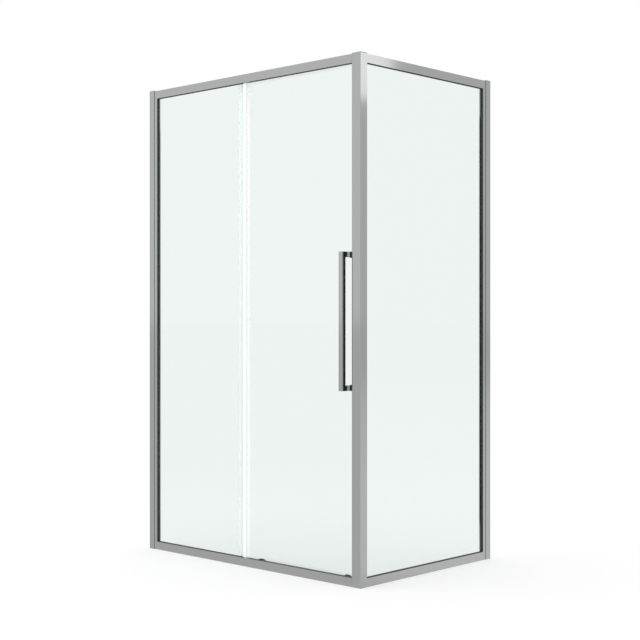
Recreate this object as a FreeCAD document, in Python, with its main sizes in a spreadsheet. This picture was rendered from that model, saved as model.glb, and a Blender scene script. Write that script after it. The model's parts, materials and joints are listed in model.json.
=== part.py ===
import FreeCAD, Part
import math
import os
from types import SimpleNamespace

import Sketcher

# Corner shower enclosure, 1200 x 800 x 1950 nominal: a framed front with a fixed pane and a
# sliding door, and a framed side pane, joined by a corner post.
#
# Sizes are in millimetres. "Along" a wall runs from the left wall to the corner on the front,
# and from the corner to the back wall on the side. "Setback" is measured inwards from the outer
# face of the wall that a piece belongs to. Heights are measured from the tray.
SIZES = {
    # the whole enclosure
    "enclosure_width": 1198.0,        # left wall to the outer face of the corner post
    "enclosure_depth": 800.0,         # outer front face to the back wall
    "frame_height": 1947.0,
    "cap_thickness": 3.0,
    # clearances
    "running_gap": 0.3,               # between pieces that move past each other
    "seat_gap": 0.3,                  # round a moulded plug or a stop
    "snap_play": 0.15,                # beside a clipped-in strip or a rail connector
    "hole_play": 0.3,                 # round a screw in its clearance hole
    "thread_play": 0.1,               # round a screw or pin in its own hole
    "pin_play": 0.08,                 # between a wheel and its pin
    "bush_play": 0.2,                 # round the bushes that pass through the glass
    # aluminium profiles
    "profile_wall": 1.6,
    "profile_rounding": 0.7,
    "frame_depth": 22.4,              # wall jambs, side rails and corner post
    "rail_height": 33.0,
    "jamb_width": 38.0,
    "wall_gap": 9.5,                  # wall to jamb, taken up inside the wall channel
    "post_front_width": 42.0,
    "post_side_width": 37.0,
    "post_lip": 4.0,
    "channel_reach": 30.5,
    "channel_wall": 1.5,
    "channel_play": 0.3,
    "cap_plug_depth": 8.0,
    "strip_leg": 7.0,                 # legs of the clip-in strips
    # glazing
    "glass_thickness": 6.0,
    "glass_arris": 0.5,
    "glass_setback": 10.0,
    "pocket_depth": 15.0,
    "gasket_lip": 2.0,
    "glazing_hook": 2.5,              # hook along the inner flange, which presses the inner gasket
    "inner_gasket_thickness": 2.0,    # glass to the back of its pocket
    "setting_block_height": 3.0,
    "setting_block_length": 60.0,
    "setting_block_inset": 60.0,      # end of a pane to its nearest setting block
    "fixed_edge_line": 613.0,         # corner face to the free edge of the fixed pane
    # roller track in the front rails
    "track_lip": 6.0,
    "track_floor": 4.8,
    "track_shelf": 1.5,               # middle of the running bead to the back of the rail
    "bead_width": 2.0,
    "bead_height": 3.2,
    # screws of the frame
    "port_boss": 6.6,
    "rail_screw_radius": 1.8,
    "rail_screw_head_radius": 3.1,
    "rail_screw_head_height": 2.2,
    "rail_screw_grip": 18.0,
    "channel_screw_radius": 1.7,
    "channel_screw_head_radius": 3.4,
    "channel_screw_length": 9.0,
    "channel_screw_first": 150.0,     # tray to the lowest of the three screws
    "channel_cap_radius": 6.0,
    "channel_cap_shell": 1.1,
    "wall_hole_radius": 2.75,
    "wall_hole_first": 100.0,         # tray to the lowest of the four holes
    # sliding door
    "door_width": 624.0,
    "door_closing_margin": 34.0,      # corner face to the closing edge of the door glass
    "door_floor_gap": 9.0,
    "door_top_gap": 4.0,
    "door_open_margin": 22.5,         # jamb to the trailing edge of the open door glass
    "glass_hole_radius": 7.0,
    "bolt_radius": 2.5,
    "inside_cap_radius": 12.0,
    "inside_cap_floor": 2.4,
    # handle
    "handle_length": 510.0,
    "handle_width": 19.0,
    "handle_bar_depth": 17.5,
    "handle_reach": 55.0,
    "handle_rounding": 0.6,
    "handle_inset": 38.4,             # closing edge of the door to the middle of the handle
    "handle_centre_height": 970.5,
    "handle_hole_radius": 6.0,
    "handle_tapped_depth": 14.0,
    "handle_bolt_grip": 12.0,
    "handle_washer_thickness": 1.0,
    # rollers
    "roller_from_closing_edge": 50.0,
    "roller_from_trailing_edge": 119.0,
    "wheel_width": 5.2,
    "wheel_groove_depth": 1.5,
    "wheel_pin_radius": 2.0,
    "pin_head_radius": 3.3,
    "pin_head_thickness": 1.2,
    "top_wheel_radius": 10.0,
    "top_wheel_gap": 6.0,             # between the two wheels of a pair
    "bracket_thickness": 2.2,
    "bracket_margin": 8.0,            # from a pin to the edges of the bracket
    "bottom_wheel_radius": 8.0,
    # sprung release of the bottom rollers
    "release_travel": 3.0,
    "release_tab_rise": 3.0,          # tab above the upper edge of the bottom rail
    "release_tab_height": 3.8,
    "release_tab_width": 22.5,
    "carriage_thickness": 1.5,
    "carriage_margin": 2.5,           # from a wheel to the side of the carriage
    "carriage_drop": 5.2,             # from the axles to the lower edge of the carriage
    "housing_plate": 0.8,
    "housing_floor_gap": 6.5,
    "housing_bolt_rise": 3.8,         # from the axles up to the bolt
    "guide_wall": 1.8,
    "guide_overlap": 1.1,
    "ledge_thickness": 1.5,
    "spring_radius": 2.2,
    "spring_wire": 0.6,
    "spring_margin": 0.8,             # from the spring to the wheels beside it
    # seals
    "seal_wall": 1.4,
    "seal_clip": 14.0,
    "magnet_thickness": 4.6,
    "magnet_width": 9.0,
    "magnet_bar_thickness": 2.2,
    "magnet_bar_width": 6.0,
    "magnet_cover": 1.0,              # plastic over the magnet's face
}


class Formula:
    """A number that keeps the sheet expression behind it, so that sums of sizes stay live."""

    def __init__(self, text, value):
        self.text = text
        self.value = value

    def __add__(self, other):
        other = as_formula(other)
        return Formula(f"({self.text} + {other.text})", self.value + other.value)

    def __sub__(self, other):
        other = as_formula(other)
        return Formula(f"({self.text} - {other.text})", self.value - other.value)

    def __mul__(self, other):
        other = as_formula(other)
        return Formula(f"({self.text} * {other.text})", self.value * other.value)

    def __truediv__(self, other):
        other = as_formula(other)
        return Formula(f"({self.text} / {other.text})", self.value / other.value)

    def __radd__(self, other):
        return as_formula(other) + self

    def __rsub__(self, other):
        return as_formula(other) - self

    def __rmul__(self, other):
        return as_formula(other) * self

    def __neg__(self):
        return as_formula(0) - self


def as_formula(number):
    """Any number as a formula."""
    return number if isinstance(number, Formula) else Formula(repr(float(number)), float(number))


def filled_sheet(doc):
    """The spreadsheet with one named cell for each driving size, and the sizes as formulas."""
    sheet = doc.addObject("Spreadsheet::Sheet", "Sizes")
    for row, (name, value) in enumerate(SIZES.items(), start=1):
        sheet.set(f"A{row}", name)
        sheet.set(f"B{row}", str(value))
        sheet.setAlias(f"B{row}", name)
    doc.recompute()
    return SimpleNamespace(**{name: Formula(f"Sizes.{name}", value) for name, value in SIZES.items()})


document = FreeCAD.newDocument("ShowerEnclosure")
size = filled_sheet(document)
nodes = []

# ---- lines and levels that several pieces share ---------------------------------------------

POST_LEFT = size.enclosure_width - size.post_front_width
JAMB_START = size.wall_gap
JAMB_EDGE = JAMB_START + size.jamb_width
SIDE_RAIL_LENGTH = size.enclosure_depth - size.post_side_width - JAMB_EDGE
TOP_RAIL_EDGE = size.frame_height - size.rail_height
CHANNEL_SCREW_LINE = (JAMB_START + size.channel_reach) / 2
CHANNEL_SCREW_SPACING = (size.frame_height - 2 * size.channel_screw_first) / 2
WALL_HOLE_SPACING = (size.frame_height - 2 * size.wall_hole_first) / 3

# glass and its pockets
GLASS_BACK = size.glass_setback + size.glass_thickness
GLASS_GRIP = size.pocket_depth - size.setting_block_height
GLASS_BOTTOM = size.rail_height - GLASS_GRIP
GLASS_HEIGHT = TOP_RAIL_EDGE + GLASS_GRIP - GLASS_BOTTOM
FIXED_EDGE = size.enclosure_width - size.fixed_edge_line
FRAME_POCKET_BACK = size.frame_depth - size.profile_wall
TRACK_RIB = GLASS_BACK + size.inner_gasket_thickness
POCKET_WEB = size.pocket_depth + size.profile_wall
POST_POCKET_FLOOR = size.post_side_width - size.pocket_depth
PORT_INSET = size.profile_wall + size.port_boss / 2
PORT_HEIGHT = size.rail_height - PORT_INSET

# roller track, and the layers from the track back to the door
TRACK_LINE = TRACK_RIB + size.profile_wall + size.running_gap + size.wheel_width / 2
FRONT_RAIL_DEPTH = TRACK_LINE + size.track_shelf
WHEEL_FACE = TRACK_LINE - size.wheel_width / 2
CARRIAGE_FACE = TRACK_LINE + size.wheel_width / 2 + size.running_gap
CARRIAGE_BACK = CARRIAGE_FACE + size.carriage_thickness
DOOR_FACE = CARRIAGE_BACK + size.running_gap + size.housing_plate
DOOR_BACK = DOOR_FACE + size.glass_thickness
DOOR_MIDDLE = DOOR_FACE + size.glass_thickness / 2

# the door from edge to edge
DOOR_CLOSING = size.enclosure_width - size.door_closing_margin
DOOR_TRAILING = DOOR_CLOSING - size.door_width
DOOR_TRAVEL = DOOR_TRAILING - JAMB_EDGE - size.door_open_margin
DOOR_HEIGHT = size.frame_height - size.door_top_gap - size.door_floor_gap
POST_MAGNET_REACH = size.frame_depth + size.magnet_thickness
DOOR_SEAL_TIP = size.door_closing_margin - POST_MAGNET_REACH - size.running_gap
HANDLE_LINE = DOOR_CLOSING - size.handle_inset
HANDLE_FOOT = DOOR_FACE - size.handle_washer_thickness
HANDLE_BOLT_SPACING = size.handle_length - size.handle_width
HANDLE_BOLT_BOTTOM = size.handle_centre_height - HANDLE_BOLT_SPACING / 2

# rollers
ROLLER_LEFT = DOOR_TRAILING + size.roller_from_trailing_edge
ROLLER_RIGHT = DOOR_CLOSING - size.roller_from_closing_edge
ROLLER_SPACING = ROLLER_RIGHT - ROLLER_LEFT
BEAD_CREST = size.track_floor + size.bead_height
TOP_AXLE = TOP_RAIL_EDGE + BEAD_CREST + size.running_gap + size.top_wheel_radius - size.wheel_groove_depth
BOTTOM_AXLE = (size.rail_height - BEAD_CREST - size.running_gap
               - size.bottom_wheel_radius + size.wheel_groove_depth)
TOP_WHEEL_SPACING = 2 * size.top_wheel_radius + size.top_wheel_gap
BOTTOM_WHEEL_SPACING = 2 * (size.bottom_wheel_radius + size.spring_radius + size.spring_margin)
CARRIAGE_HALF = BOTTOM_WHEEL_SPACING / 2 + size.bottom_wheel_radius + size.carriage_margin
CARRIAGE_BOTTOM = BOTTOM_AXLE - size.carriage_drop
TAB_TOP = size.rail_height + size.release_tab_rise
TAB_UNDERSIDE = TAB_TOP - size.release_tab_height
HOUSING_BOLT_HEIGHT = BOTTOM_AXLE + size.housing_bolt_rise
SPRING_FOOT = size.housing_floor_gap + size.ledge_thickness
SPRING_HEAD = BOTTOM_AXLE - size.spring_wire * 2
SHELF_HALF = size.spring_radius + size.spring_margin - size.running_gap

# The origin is the middle of the whole outline at tray level.
CHANNEL_PROUD = size.channel_wall + size.channel_play
HANDLE_FRONT = HANDLE_FOOT - size.handle_reach
MIDDLE_X = (size.enclosure_width + CHANNEL_PROUD) / 2
MIDDLE_Y = (size.enclosure_depth + HANDLE_FRONT) / 2


# ---- drawing and shaping --------------------------------------------------------------------

def origin_part(body, role):
    """One of a body's own origin planes or axes."""
    return next(part for part in body.Origin.OriginFeatures if part.Role == role)


def new_sketch(body, plane, offset=0):
    """A sketch on one of the body's origin planes, moved off it along the plane's normal."""
    sketch = body.newObject("Sketcher::SketchObject", "Sketch")
    sketch.AttachmentSupport = [(origin_part(body, plane), "")]
    sketch.MapMode = "FlatFace"
    sketch.setExpression("AttachmentOffset.Base.z", as_formula(offset).text)
    return sketch


def tie(sketch, kind, geometry, point, formula):
    """Holds one coordinate of a sketch point at a formula."""
    formula = as_formula(formula)
    constraint = Sketcher.Constraint(kind, -1, 1, geometry, point, formula.value)
    index = sketch.addConstraint(constraint)
    if "Sizes" in formula.text:
        sketch.setExpression(f"Constraints[{index}]", formula.text)


def flat(u, v):
    """A point of a sketch."""
    return FreeCAD.Vector(as_formula(u).value, as_formula(v).value, 0)


def step_towards(corner, other, distance):
    """The point at a distance from a corner, on the straight and level or upright line to another."""
    along_u = as_formula(other[0]).value - as_formula(corner[0]).value
    along_v = as_formula(other[1]).value - as_formula(corner[1]).value
    if abs(along_u) > abs(along_v):
        return (corner[0] + math.copysign(1, along_u) * distance, corner[1])
    return (corner[0], corner[1] + math.copysign(1, along_v) * distance)


def draw_outline(sketch, corners):
    """A closed outline through corners (u, v), or (u, v, radius) where two square edges are rounded."""
    stations = []
    for index, corner in enumerate(corners):
        before = corners[index - 1]
        after = corners[(index + 1) % len(corners)]
        if len(corner) == 3:
            entry = step_towards(corner, before, corner[2])
            leave = step_towards(corner, after, corner[2])
            stations.append((entry, leave, corner))
        else:
            stations.append((corner, corner, None))
    start = None
    end = None
    for index, (entry, leave, rounded) in enumerate(stations):
        if rounded:
            arc, arc_entry, arc_leave = draw_rounding(sketch, entry, leave, rounded)
            if end:
                sketch.addConstraint(Sketcher.Constraint("Coincident", *end, arc, arc_entry))
            start = start or (arc, arc_entry)
            end = (arc, arc_leave)
        target = stations[(index + 1) % len(stations)][0]
        line = sketch.addGeometry(Part.LineSegment(flat(*leave), flat(*target)))
        if end:
            sketch.addConstraint(Sketcher.Constraint("Coincident", *end, line, 1))
        tie(sketch, "DistanceX", line, 1, leave[0])
        tie(sketch, "DistanceY", line, 1, leave[1])
        start = start or (line, 1)
        end = (line, 2)
    sketch.addConstraint(Sketcher.Constraint("Coincident", *end, *start))


def draw_rounding(sketch, entry, leave, corner):
    """The quarter circle that rounds a square corner; gives its index and the ends it is met at."""
    centre = flat(entry[0] + leave[0] - corner[0], entry[1] + leave[1] - corner[1])
    first = flat(*entry) - centre
    last = flat(*leave) - centre
    turns_left = first.x * last.y - first.y * last.x > 0
    begin = math.atan2(first.y, first.x) if turns_left else math.atan2(last.y, last.x)
    radius = as_formula(corner[2])
    circle = Part.Circle(centre, FreeCAD.Vector(0, 0, 1), radius.value)
    arc = sketch.addGeometry(Part.ArcOfCircle(circle, begin, begin + math.pi / 2))
    index = sketch.addConstraint(Sketcher.Constraint("Radius", arc, radius.value))
    sketch.setExpression(f"Constraints[{index}]", radius.text)
    arc_entry, arc_leave = (1, 2) if turns_left else (2, 1)
    tie(sketch, "DistanceX", arc, arc_entry, entry[0])
    tie(sketch, "DistanceY", arc, arc_entry, entry[1])
    return arc, arc_entry, arc_leave


def draw_circle(sketch, u, v, radius):
    """A circle round (u, v)."""
    radius = as_formula(radius)
    circle = sketch.addGeometry(Part.Circle(flat(u, v), FreeCAD.Vector(0, 0, 1), radius.value))
    tie(sketch, "DistanceX", circle, 3, u)
    tie(sketch, "DistanceY", circle, 3, v)
    index = sketch.addConstraint(Sketcher.Constraint("Radius", circle, radius.value))
    sketch.setExpression(f"Constraints[{index}]", radius.text)


def new_body(name):
    """An empty body that will become the piece of that name."""
    body = document.addObject("PartDesign::Body", name)
    body.Label = name
    return body


def drawn(body, plane, outlines, circles=(), offset=0):
    """A sketch of outlines and circles (u, v, radius)."""
    sketch = new_sketch(body, plane, offset)
    for corners in outlines:
        draw_outline(sketch, corners)
    for circle in circles:
        draw_circle(sketch, *circle)
    return sketch


def pad(body, plane, outlines, length, circles=(), offset=0, reverse=False):
    """Extrudes outlines; upright XZ sketches grow towards +Y unless they are reversed."""
    feature = body.newObject("PartDesign::Pad", "Pad")
    feature.Profile = drawn(body, plane, outlines, circles, offset)
    feature.setExpression("Length", as_formula(length).text)
    feature.Reversed = (plane == "XZ_Plane") != reverse
    body.Tip = feature
    return feature


def cut(body, plane, length, outlines=(), circles=(), offset=0):
    """Cuts outlines and circles out of a body, half the length to each side of the sketch."""
    document.recompute()
    before = body.Shape.Volume
    feature = body.newObject("PartDesign::Pocket", "Pocket")
    feature.Profile = drawn(body, plane, outlines, circles, offset)
    feature.setExpression("Length", as_formula(length).text)
    feature.Midplane = True
    body.Tip = feature
    document.recompute()
    if body.Shape.Volume >= before:
        raise ValueError(f"{body.Label}: a cut removes nothing")
    return feature


def turn(body, plane, outline, axis):
    """Revolves an outline about the sketch's own horizontal or vertical axis."""
    feature = body.newObject("PartDesign::Revolution", "Revolution")
    sketch = drawn(body, plane, [outline])
    feature.Profile = sketch
    feature.ReferenceAxis = (sketch, [axis])
    feature.Angle = 360
    body.Tip = feature
    return feature


def row(body, axis, spacing, count, backwards=False):
    """A straight row of copies along one of the body's own axes."""
    pattern = document.addObject("PartDesign::LinearPattern", "Row")
    body.addObject(pattern)
    pattern.Direction = (origin_part(body, axis), [""])
    pattern.Mode = "Spacing"
    pattern.setExpression("Offset", as_formula(spacing).text)
    pattern.Occurrences = count
    pattern.Reversed = backwards
    return pattern


def repeat(body, feature, axis, spacing, count, second=None, backwards=False):
    """A row of copies of a feature, or a grid where second gives (axis, spacing, count)."""
    document.recompute()
    if second:
        pattern = body.newObject("PartDesign::MultiTransform", "Grid")
        pattern.Transformations = [row(body, axis, spacing, count, backwards), row(body, *second)]
    else:
        pattern = row(body, axis, spacing, count, backwards)
    pattern.Originals = [feature]
    body.Tip = pattern
    return pattern


def soften(body, kind, feature, amount, wanted):
    """Fillets or chamfers the edges of a feature that pass the wanted test."""
    document.recompute()
    edges = feature.Shape.Edges
    names = [f"Edge{index}" for index, edge in enumerate(edges, start=1) if wanted(edge)]
    softened = body.newObject(f"PartDesign::{kind}", kind)
    softened.Base = (feature, names)
    softened.setExpression("Radius" if kind == "Fillet" else "Size", as_formula(amount).text)
    body.Tip = softened
    return softened


def place(item, along, setback, height=0, on_side=False):
    """Sets a piece on the front, or on the side wall, where it is turned a quarter left."""
    if on_side:
        item.Placement = FreeCAD.Placement(FreeCAD.Vector(), FreeCAD.Rotation(FreeCAD.Vector(0, 0, 1), 90))
        x = size.enclosure_width - setback
        y = along
    else:
        x = along
        y = as_formula(setback)
    for axis, distance in (("x", x - MIDDLE_X), ("y", y - MIDDLE_Y), ("z", height)):
        item.setExpression(f".Placement.Base.{axis}", as_formula(distance).text)


def finish(item, along, setback, height=0, on_side=False):
    """Places a finished piece and lists it for export."""
    place(item, along, setback, height, on_side)
    nodes.append(item)


def group(name, pieces):
    """One node of several separate solids."""
    compound = document.addObject("Part::Compound", name)
    compound.Label = name
    compound.Links = pieces
    nodes.append(compound)


def facing(corners, mirrored):
    """Corners as they are, or with their first coordinate reversed."""
    return [(-corner[0], *corner[1:]) for corner in corners] if mirrored else corners


def upended(corners, height):
    """Corners of a section turned upside down within its height."""
    return [(corner[0], height - corner[1], *corner[2:]) for corner in corners]


def rectangle(low_u, low_v, high_u, high_v):
    """The four corners of a rectangle."""
    return [(low_u, low_v), (high_u, low_v), (high_u, high_v), (low_u, high_v)]


# ---- aluminium profiles ---------------------------------------------------------------------

def track_rail_section():
    """Front rail: glass pocket below, roller track behind it. Points are (setback, height)."""
    wall = size.profile_wall
    top = size.rail_height
    back = FRONT_RAIL_DEPTH
    rib = TRACK_RIB
    floor = size.track_floor
    bead = size.bead_width / 2
    rounding = size.profile_rounding
    return [
        (0, 0),
        (0, top, rounding),
        (back, top, rounding),
        (back, top - size.track_lip),
        (back - wall, top - size.track_lip),
        (back - wall, top - wall),
        (rib + wall, top - wall),
        (rib + wall, floor),
        (TRACK_LINE - bead, floor),
        (TRACK_LINE - bead, BEAD_CREST, rounding),
        (TRACK_LINE + bead, BEAD_CREST, rounding),
        (TRACK_LINE + bead, floor),
        (back, floor),
        (back, floor - wall),
        (rib + wall, floor - wall),
        (rib + wall, 0),
        (rib, 0),
        (rib, size.pocket_depth),
        (wall, size.pocket_depth),
        (wall, 0),
    ]


def plain_rail_section():
    """Side rail: a glass pocket under a closed chamber. Points are (setback, height)."""
    wall = size.profile_wall
    back = size.frame_depth
    rounding = size.profile_rounding
    return [
        (0, 0),
        (0, size.rail_height, rounding),
        (back, size.rail_height, rounding),
        (back, 0),
        (TRACK_RIB, 0),
        (TRACK_RIB, size.glazing_hook),
        (back - wall, size.glazing_hook),
        (back - wall, size.pocket_depth),
        (wall, size.pocket_depth),
        (wall, 0),
    ]


def chamber_section(pocket_back, play=0):
    """The hollow above a glass pocket, stepped round its two screw ports."""
    low = POCKET_WEB + play
    high = size.rail_height - size.profile_wall - play
    shoulder = size.rail_height - size.profile_wall - size.port_boss - play
    left = size.profile_wall + play
    right = pocket_back - play
    return [
        (left, low),
        (right, low),
        (right, shoulder),
        (right - size.port_boss, shoulder),
        (right - size.port_boss, high),
        (left + size.port_boss, high),
        (left + size.port_boss, shoulder),
        (left, shoulder),
    ]


def rail(name, section, pocket_back, length, is_top, along, on_side=False):
    """A horizontal rail; the lower one is the same profile upside down."""
    body = new_body(name)
    outlines = [section, chamber_section(pocket_back)]
    ports = [(PORT_INSET, PORT_HEIGHT, size.rail_screw_radius + size.thread_play)]
    ports.append((pocket_back - size.port_boss / 2, PORT_HEIGHT, size.rail_screw_radius + size.thread_play))
    if not is_top:
        outlines = [upended(corners, size.rail_height) for corners in outlines]
        ports = upended(ports, size.rail_height)
    pad(body, "YZ_Plane", outlines, length, circles=ports)
    finish(body, along, 0, TOP_RAIL_EDGE if is_top else 0, on_side)


def screw_holes(setbacks):
    """Circles (setback, height, radius) for the screws at the lower and the upper rail."""
    heights = (size.rail_height - PORT_HEIGHT, TOP_RAIL_EDGE + PORT_HEIGHT)
    radius = size.rail_screw_radius + size.hole_play
    return [(setback, height, radius) for height in heights for setback in setbacks]


def wall_jamb(name, pocket_back, along, on_side=False):
    """The upright at a wall: a box with a glass pocket on its free side."""
    wall = size.profile_wall
    width = size.jamb_width
    floor = width - size.pocket_depth
    depth = size.frame_depth
    outline = [
        (0, 0),
        (width, 0),
        (width, wall),
        (floor, wall),
        (floor, FRAME_POCKET_BACK),
        (width - size.glazing_hook, FRAME_POCKET_BACK),
        (width - size.glazing_hook, TRACK_RIB),
        (width, TRACK_RIB),
        (width, depth),
        (0, depth),
    ]
    chamber = rectangle(wall, wall, floor - wall, FRAME_POCKET_BACK)
    body = new_body(name)
    pad(body, "XY_Plane", [facing(outline, on_side), facing(chamber, on_side)], size.frame_height)
    holes = screw_holes((PORT_INSET, pocket_back - size.port_boss / 2))
    cut(body, "YZ_Plane", 2 * width + wall, circles=holes)
    cut_channel_screw_holes(body, CHANNEL_SCREW_LINE - JAMB_START, depth - wall / 2, on_side)
    finish(body, along, 0, 0, on_side)


def cut_channel_screw_holes(body, line, setback, mirrored):
    """Round holes through one wall for the screws that fix a jamb in its channel."""
    line = -line if mirrored else line
    heights = [size.channel_screw_first + CHANNEL_SCREW_SPACING * step for step in range(3)]
    holes = [(line, height, size.channel_screw_radius + size.hole_play) for height in heights]
    cut(body, "XZ_Plane", 2 * size.profile_wall, circles=holes, offset=-setback)


def wall_channel(name, along, on_side=False):
    """The U channel that is screwed to the wall and takes up an uneven wall behind the jamb."""
    wall = size.channel_wall
    front = -CHANNEL_PROUD
    back = size.frame_depth + CHANNEL_PROUD
    reach = size.channel_reach
    outline = [
        (0, front, size.profile_rounding),
        (reach, front),
        (reach, front + wall),
        (wall, front + wall),
        (wall, back - wall),
        (reach, back - wall),
        (reach, back),
        (0, back, size.profile_rounding),
    ]
    body = new_body(name)
    pad(body, "XY_Plane", [facing(outline, on_side)], size.frame_height)
    heights = [size.wall_hole_first + WALL_HOLE_SPACING * step for step in range(4)]
    holes = [(size.frame_depth / 2, height, size.wall_hole_radius) for height in heights]
    cut(body, "YZ_Plane", 3 * wall, circles=holes)
    cut_channel_screw_holes(body, CHANNEL_SCREW_LINE, back - wall / 2, on_side)
    finish(body, along, 0, 0, on_side)


def channel_cap(name, along, on_side=False):
    """Moulded cap on a wall channel, with a plug that goes down beside the jamb."""
    front = -CHANNEL_PROUD
    back = size.frame_depth + CHANNEL_PROUD
    rounding = 2 * size.profile_rounding
    plate = [
        (0, front),
        (size.channel_reach, front, rounding),
        (size.channel_reach, back, rounding),
        (0, back),
    ]
    screw_heads = JAMB_START - size.rail_screw_head_height
    plug = rectangle(size.channel_wall + size.seat_gap, size.channel_wall,
                     screw_heads - size.seat_gap, size.frame_depth - size.channel_wall)
    body = new_body(name)
    pad(body, "XY_Plane", [facing(plate, on_side)], size.cap_thickness)
    pad(body, "XY_Plane", [facing(plug, on_side)], size.cap_plug_depth, reverse=True)
    finish(body, along, 0, size.frame_height, on_side)


def post_outline():
    """Corner post: open at the back of its front leaf, glass pocket in its side leaf."""
    wall = size.profile_wall
    width = size.post_front_width
    depth = size.frame_depth
    reach = size.post_side_width
    leaf = width - depth
    hook = width - TRACK_RIB
    floor = POST_POCKET_FLOOR
    return [
        (0, 0, size.profile_rounding),
        (0, depth),
        (size.post_lip, depth),
        (size.post_lip, depth - wall),
        (wall, depth - wall),
        (wall, wall),
        (width - wall, wall),
        (width - wall, floor - wall),
        (leaf, floor - wall),
        (leaf, reach),
        (hook, reach),
        (hook, reach - size.glazing_hook),
        (leaf + wall, reach - size.glazing_hook),
        (leaf + wall, floor),
        (width - wall, floor),
        (width - wall, reach),
        (width, reach),
        (width, 0, size.profile_rounding),
    ]


def corner_post():
    """The post that joins the front to the side wall."""
    body = new_body("corner_post")
    pad(body, "XY_Plane", [post_outline()], size.frame_height)
    setbacks = (PORT_INSET, TRACK_RIB - size.port_boss / 2)
    cut(body, "YZ_Plane", 3 * size.profile_wall, circles=screw_holes(setbacks))
    finish(body, POST_LEFT, 0)


def corner_post_cap():
    """Moulded cap that closes the post and shows as a thin plate above the rails."""
    width = size.post_front_width
    leaf = width - size.frame_depth
    rounding = 2 * size.profile_rounding
    plate = [
        (0, 0, rounding),
        (width, 0, rounding),
        (width, size.post_side_width),
        (leaf, size.post_side_width),
        (leaf, size.frame_depth),
        (0, size.frame_depth),
    ]
    inset = size.profile_wall + size.seat_gap
    plug = rectangle(inset + size.rail_screw_head_height, inset,
                     width - inset, size.frame_depth - size.strip_leg - size.seat_gap)
    body = new_body("corner_post_cap")
    pad(body, "XY_Plane", [plate], size.cap_thickness)
    pad(body, "XY_Plane", [plug], size.cap_plug_depth, reverse=True)
    finish(body, POST_LEFT, 0, size.frame_height)


def post_cover_strip():
    """The clip-in strip that hides the rail screws at the back of the post's front leaf."""
    wall = size.profile_wall
    left = size.post_lip + size.snap_play
    right = size.post_front_width - size.frame_depth - size.snap_play
    face = size.frame_depth
    leg_foot = face - size.strip_leg
    outline = [
        (left, face),
        (right, face),
        (right, face - wall),
        (right - wall, face - wall),
        (right - wall, leg_foot),
        (right - 2 * wall, leg_foot),
        (right - 2 * wall, face - wall),
        (left + 2 * wall, face - wall),
        (left + 2 * wall, leg_foot),
        (left + wall, leg_foot),
        (left + wall, face - wall),
        (left, face - wall),
    ]
    body = new_body("post_cover_strip")
    pad(body, "XY_Plane", [outline], size.frame_height)
    finish(body, POST_LEFT, 0)


def rail_infill(name, is_top):
    """The strip that closes the empty glass pocket over the doorway."""
    wall = size.profile_wall
    leg = size.strip_leg
    left = wall + size.snap_play
    right = TRACK_RIB - size.snap_play
    section = [
        (left, 0),
        (right, 0),
        (right, leg),
        (right - wall, leg),
        (right - wall, wall),
        (left + wall, wall),
        (left + wall, leg),
        (left, leg),
    ]
    if not is_top:
        section = upended(section, size.rail_height)
    start = FIXED_EDGE + 3 * size.seal_wall
    body = new_body(name)
    pad(body, "YZ_Plane", [section], POST_LEFT - start)
    finish(body, start, 0, TOP_RAIL_EDGE if is_top else 0)


# ---- glass and its gaskets ------------------------------------------------------------------

def pane(name, width, height, holes=()):
    """A toughened pane with drilled holes and ground edges; its outer face is at no setback."""
    body = new_body(name)
    feature = pad(body, "XZ_Plane", [rectangle(0, 0, width, height)],
                  size.glass_thickness, circles=holes)
    soften(body, "Chamfer", feature, size.glass_arris, is_straight)
    return body


def is_straight(edge):
    """Whether an edge is a straight line."""
    return edge.Curve.TypeId == "Part::GeomLine"


def outer_wedge():
    """Outer gasket: fills the pocket before the glass, with a lip that covers the edge of the metal."""
    flush = size.seat_gap
    left = size.profile_wall
    right = size.glass_setback
    lip = size.gasket_lip
    top = GLASS_GRIP - 1
    return [
        (flush, 0),
        (left, 0),
        (left, top - lip),
        (left + lip, top),
        (right - lip, top),
        (right, top - lip),
        (right, -lip),
        (flush + lip, -0.6 * lip),
    ]


def inner_wedge():
    """Inner gasket: presses the glass outwards from the back of the pocket."""
    left = GLASS_BACK
    lip = size.gasket_lip
    top = GLASS_GRIP - 2
    return [
        (left, -0.6 * lip),
        (left, top),
        (TRACK_RIB, top),
        (TRACK_RIB, 0),
        (left + 0.5 * lip, -0.6 * lip),
    ]


def level_strip(name, section, start, length, is_top, on_side=False):
    """A gasket along a rail."""
    body = new_body(name)
    corners = section if is_top else upended(section, size.rail_height)
    pad(body, "YZ_Plane", [corners], length)
    place(body, start, 0, TOP_RAIL_EDGE if is_top else 0, on_side)
    return body


def upright_strip(name, section, edge, opens_forward, on_side=False):
    """A gasket along a jamb or the post, whose metal ends at edge."""
    body = new_body(name)
    corners = [((-corner[1] if opens_forward else corner[1]), corner[0]) for corner in section]
    foot = size.rail_height + size.gasket_lip
    pad(body, "XY_Plane", [corners], TOP_RAIL_EDGE - size.gasket_lip - foot)
    place(body, edge, 0, foot, on_side)
    return body


def front_gasket(name, section):
    """The three strips that hold the fixed pane: top, bottom and wall side."""
    length = FIXED_EDGE - size.seal_clip - size.seat_gap - JAMB_EDGE
    group(name, [
        level_strip(f"{name}_top", section, JAMB_EDGE, length, True),
        level_strip(f"{name}_bottom", section, JAMB_EDGE, length, False),
        upright_strip(f"{name}_jamb", section, JAMB_EDGE, True),
    ])


def side_gasket(name, section):
    """The four strips that hold the side pane."""
    start = size.post_side_width
    group(name, [
        level_strip(f"{name}_top", section, start, SIDE_RAIL_LENGTH, True, True),
        level_strip(f"{name}_bottom", section, start, SIDE_RAIL_LENGTH, False, True),
        upright_strip(f"{name}_post", section, start, True, True),
        upright_strip(f"{name}_jamb", section, start + SIDE_RAIL_LENGTH, False, True),
    ])


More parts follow.
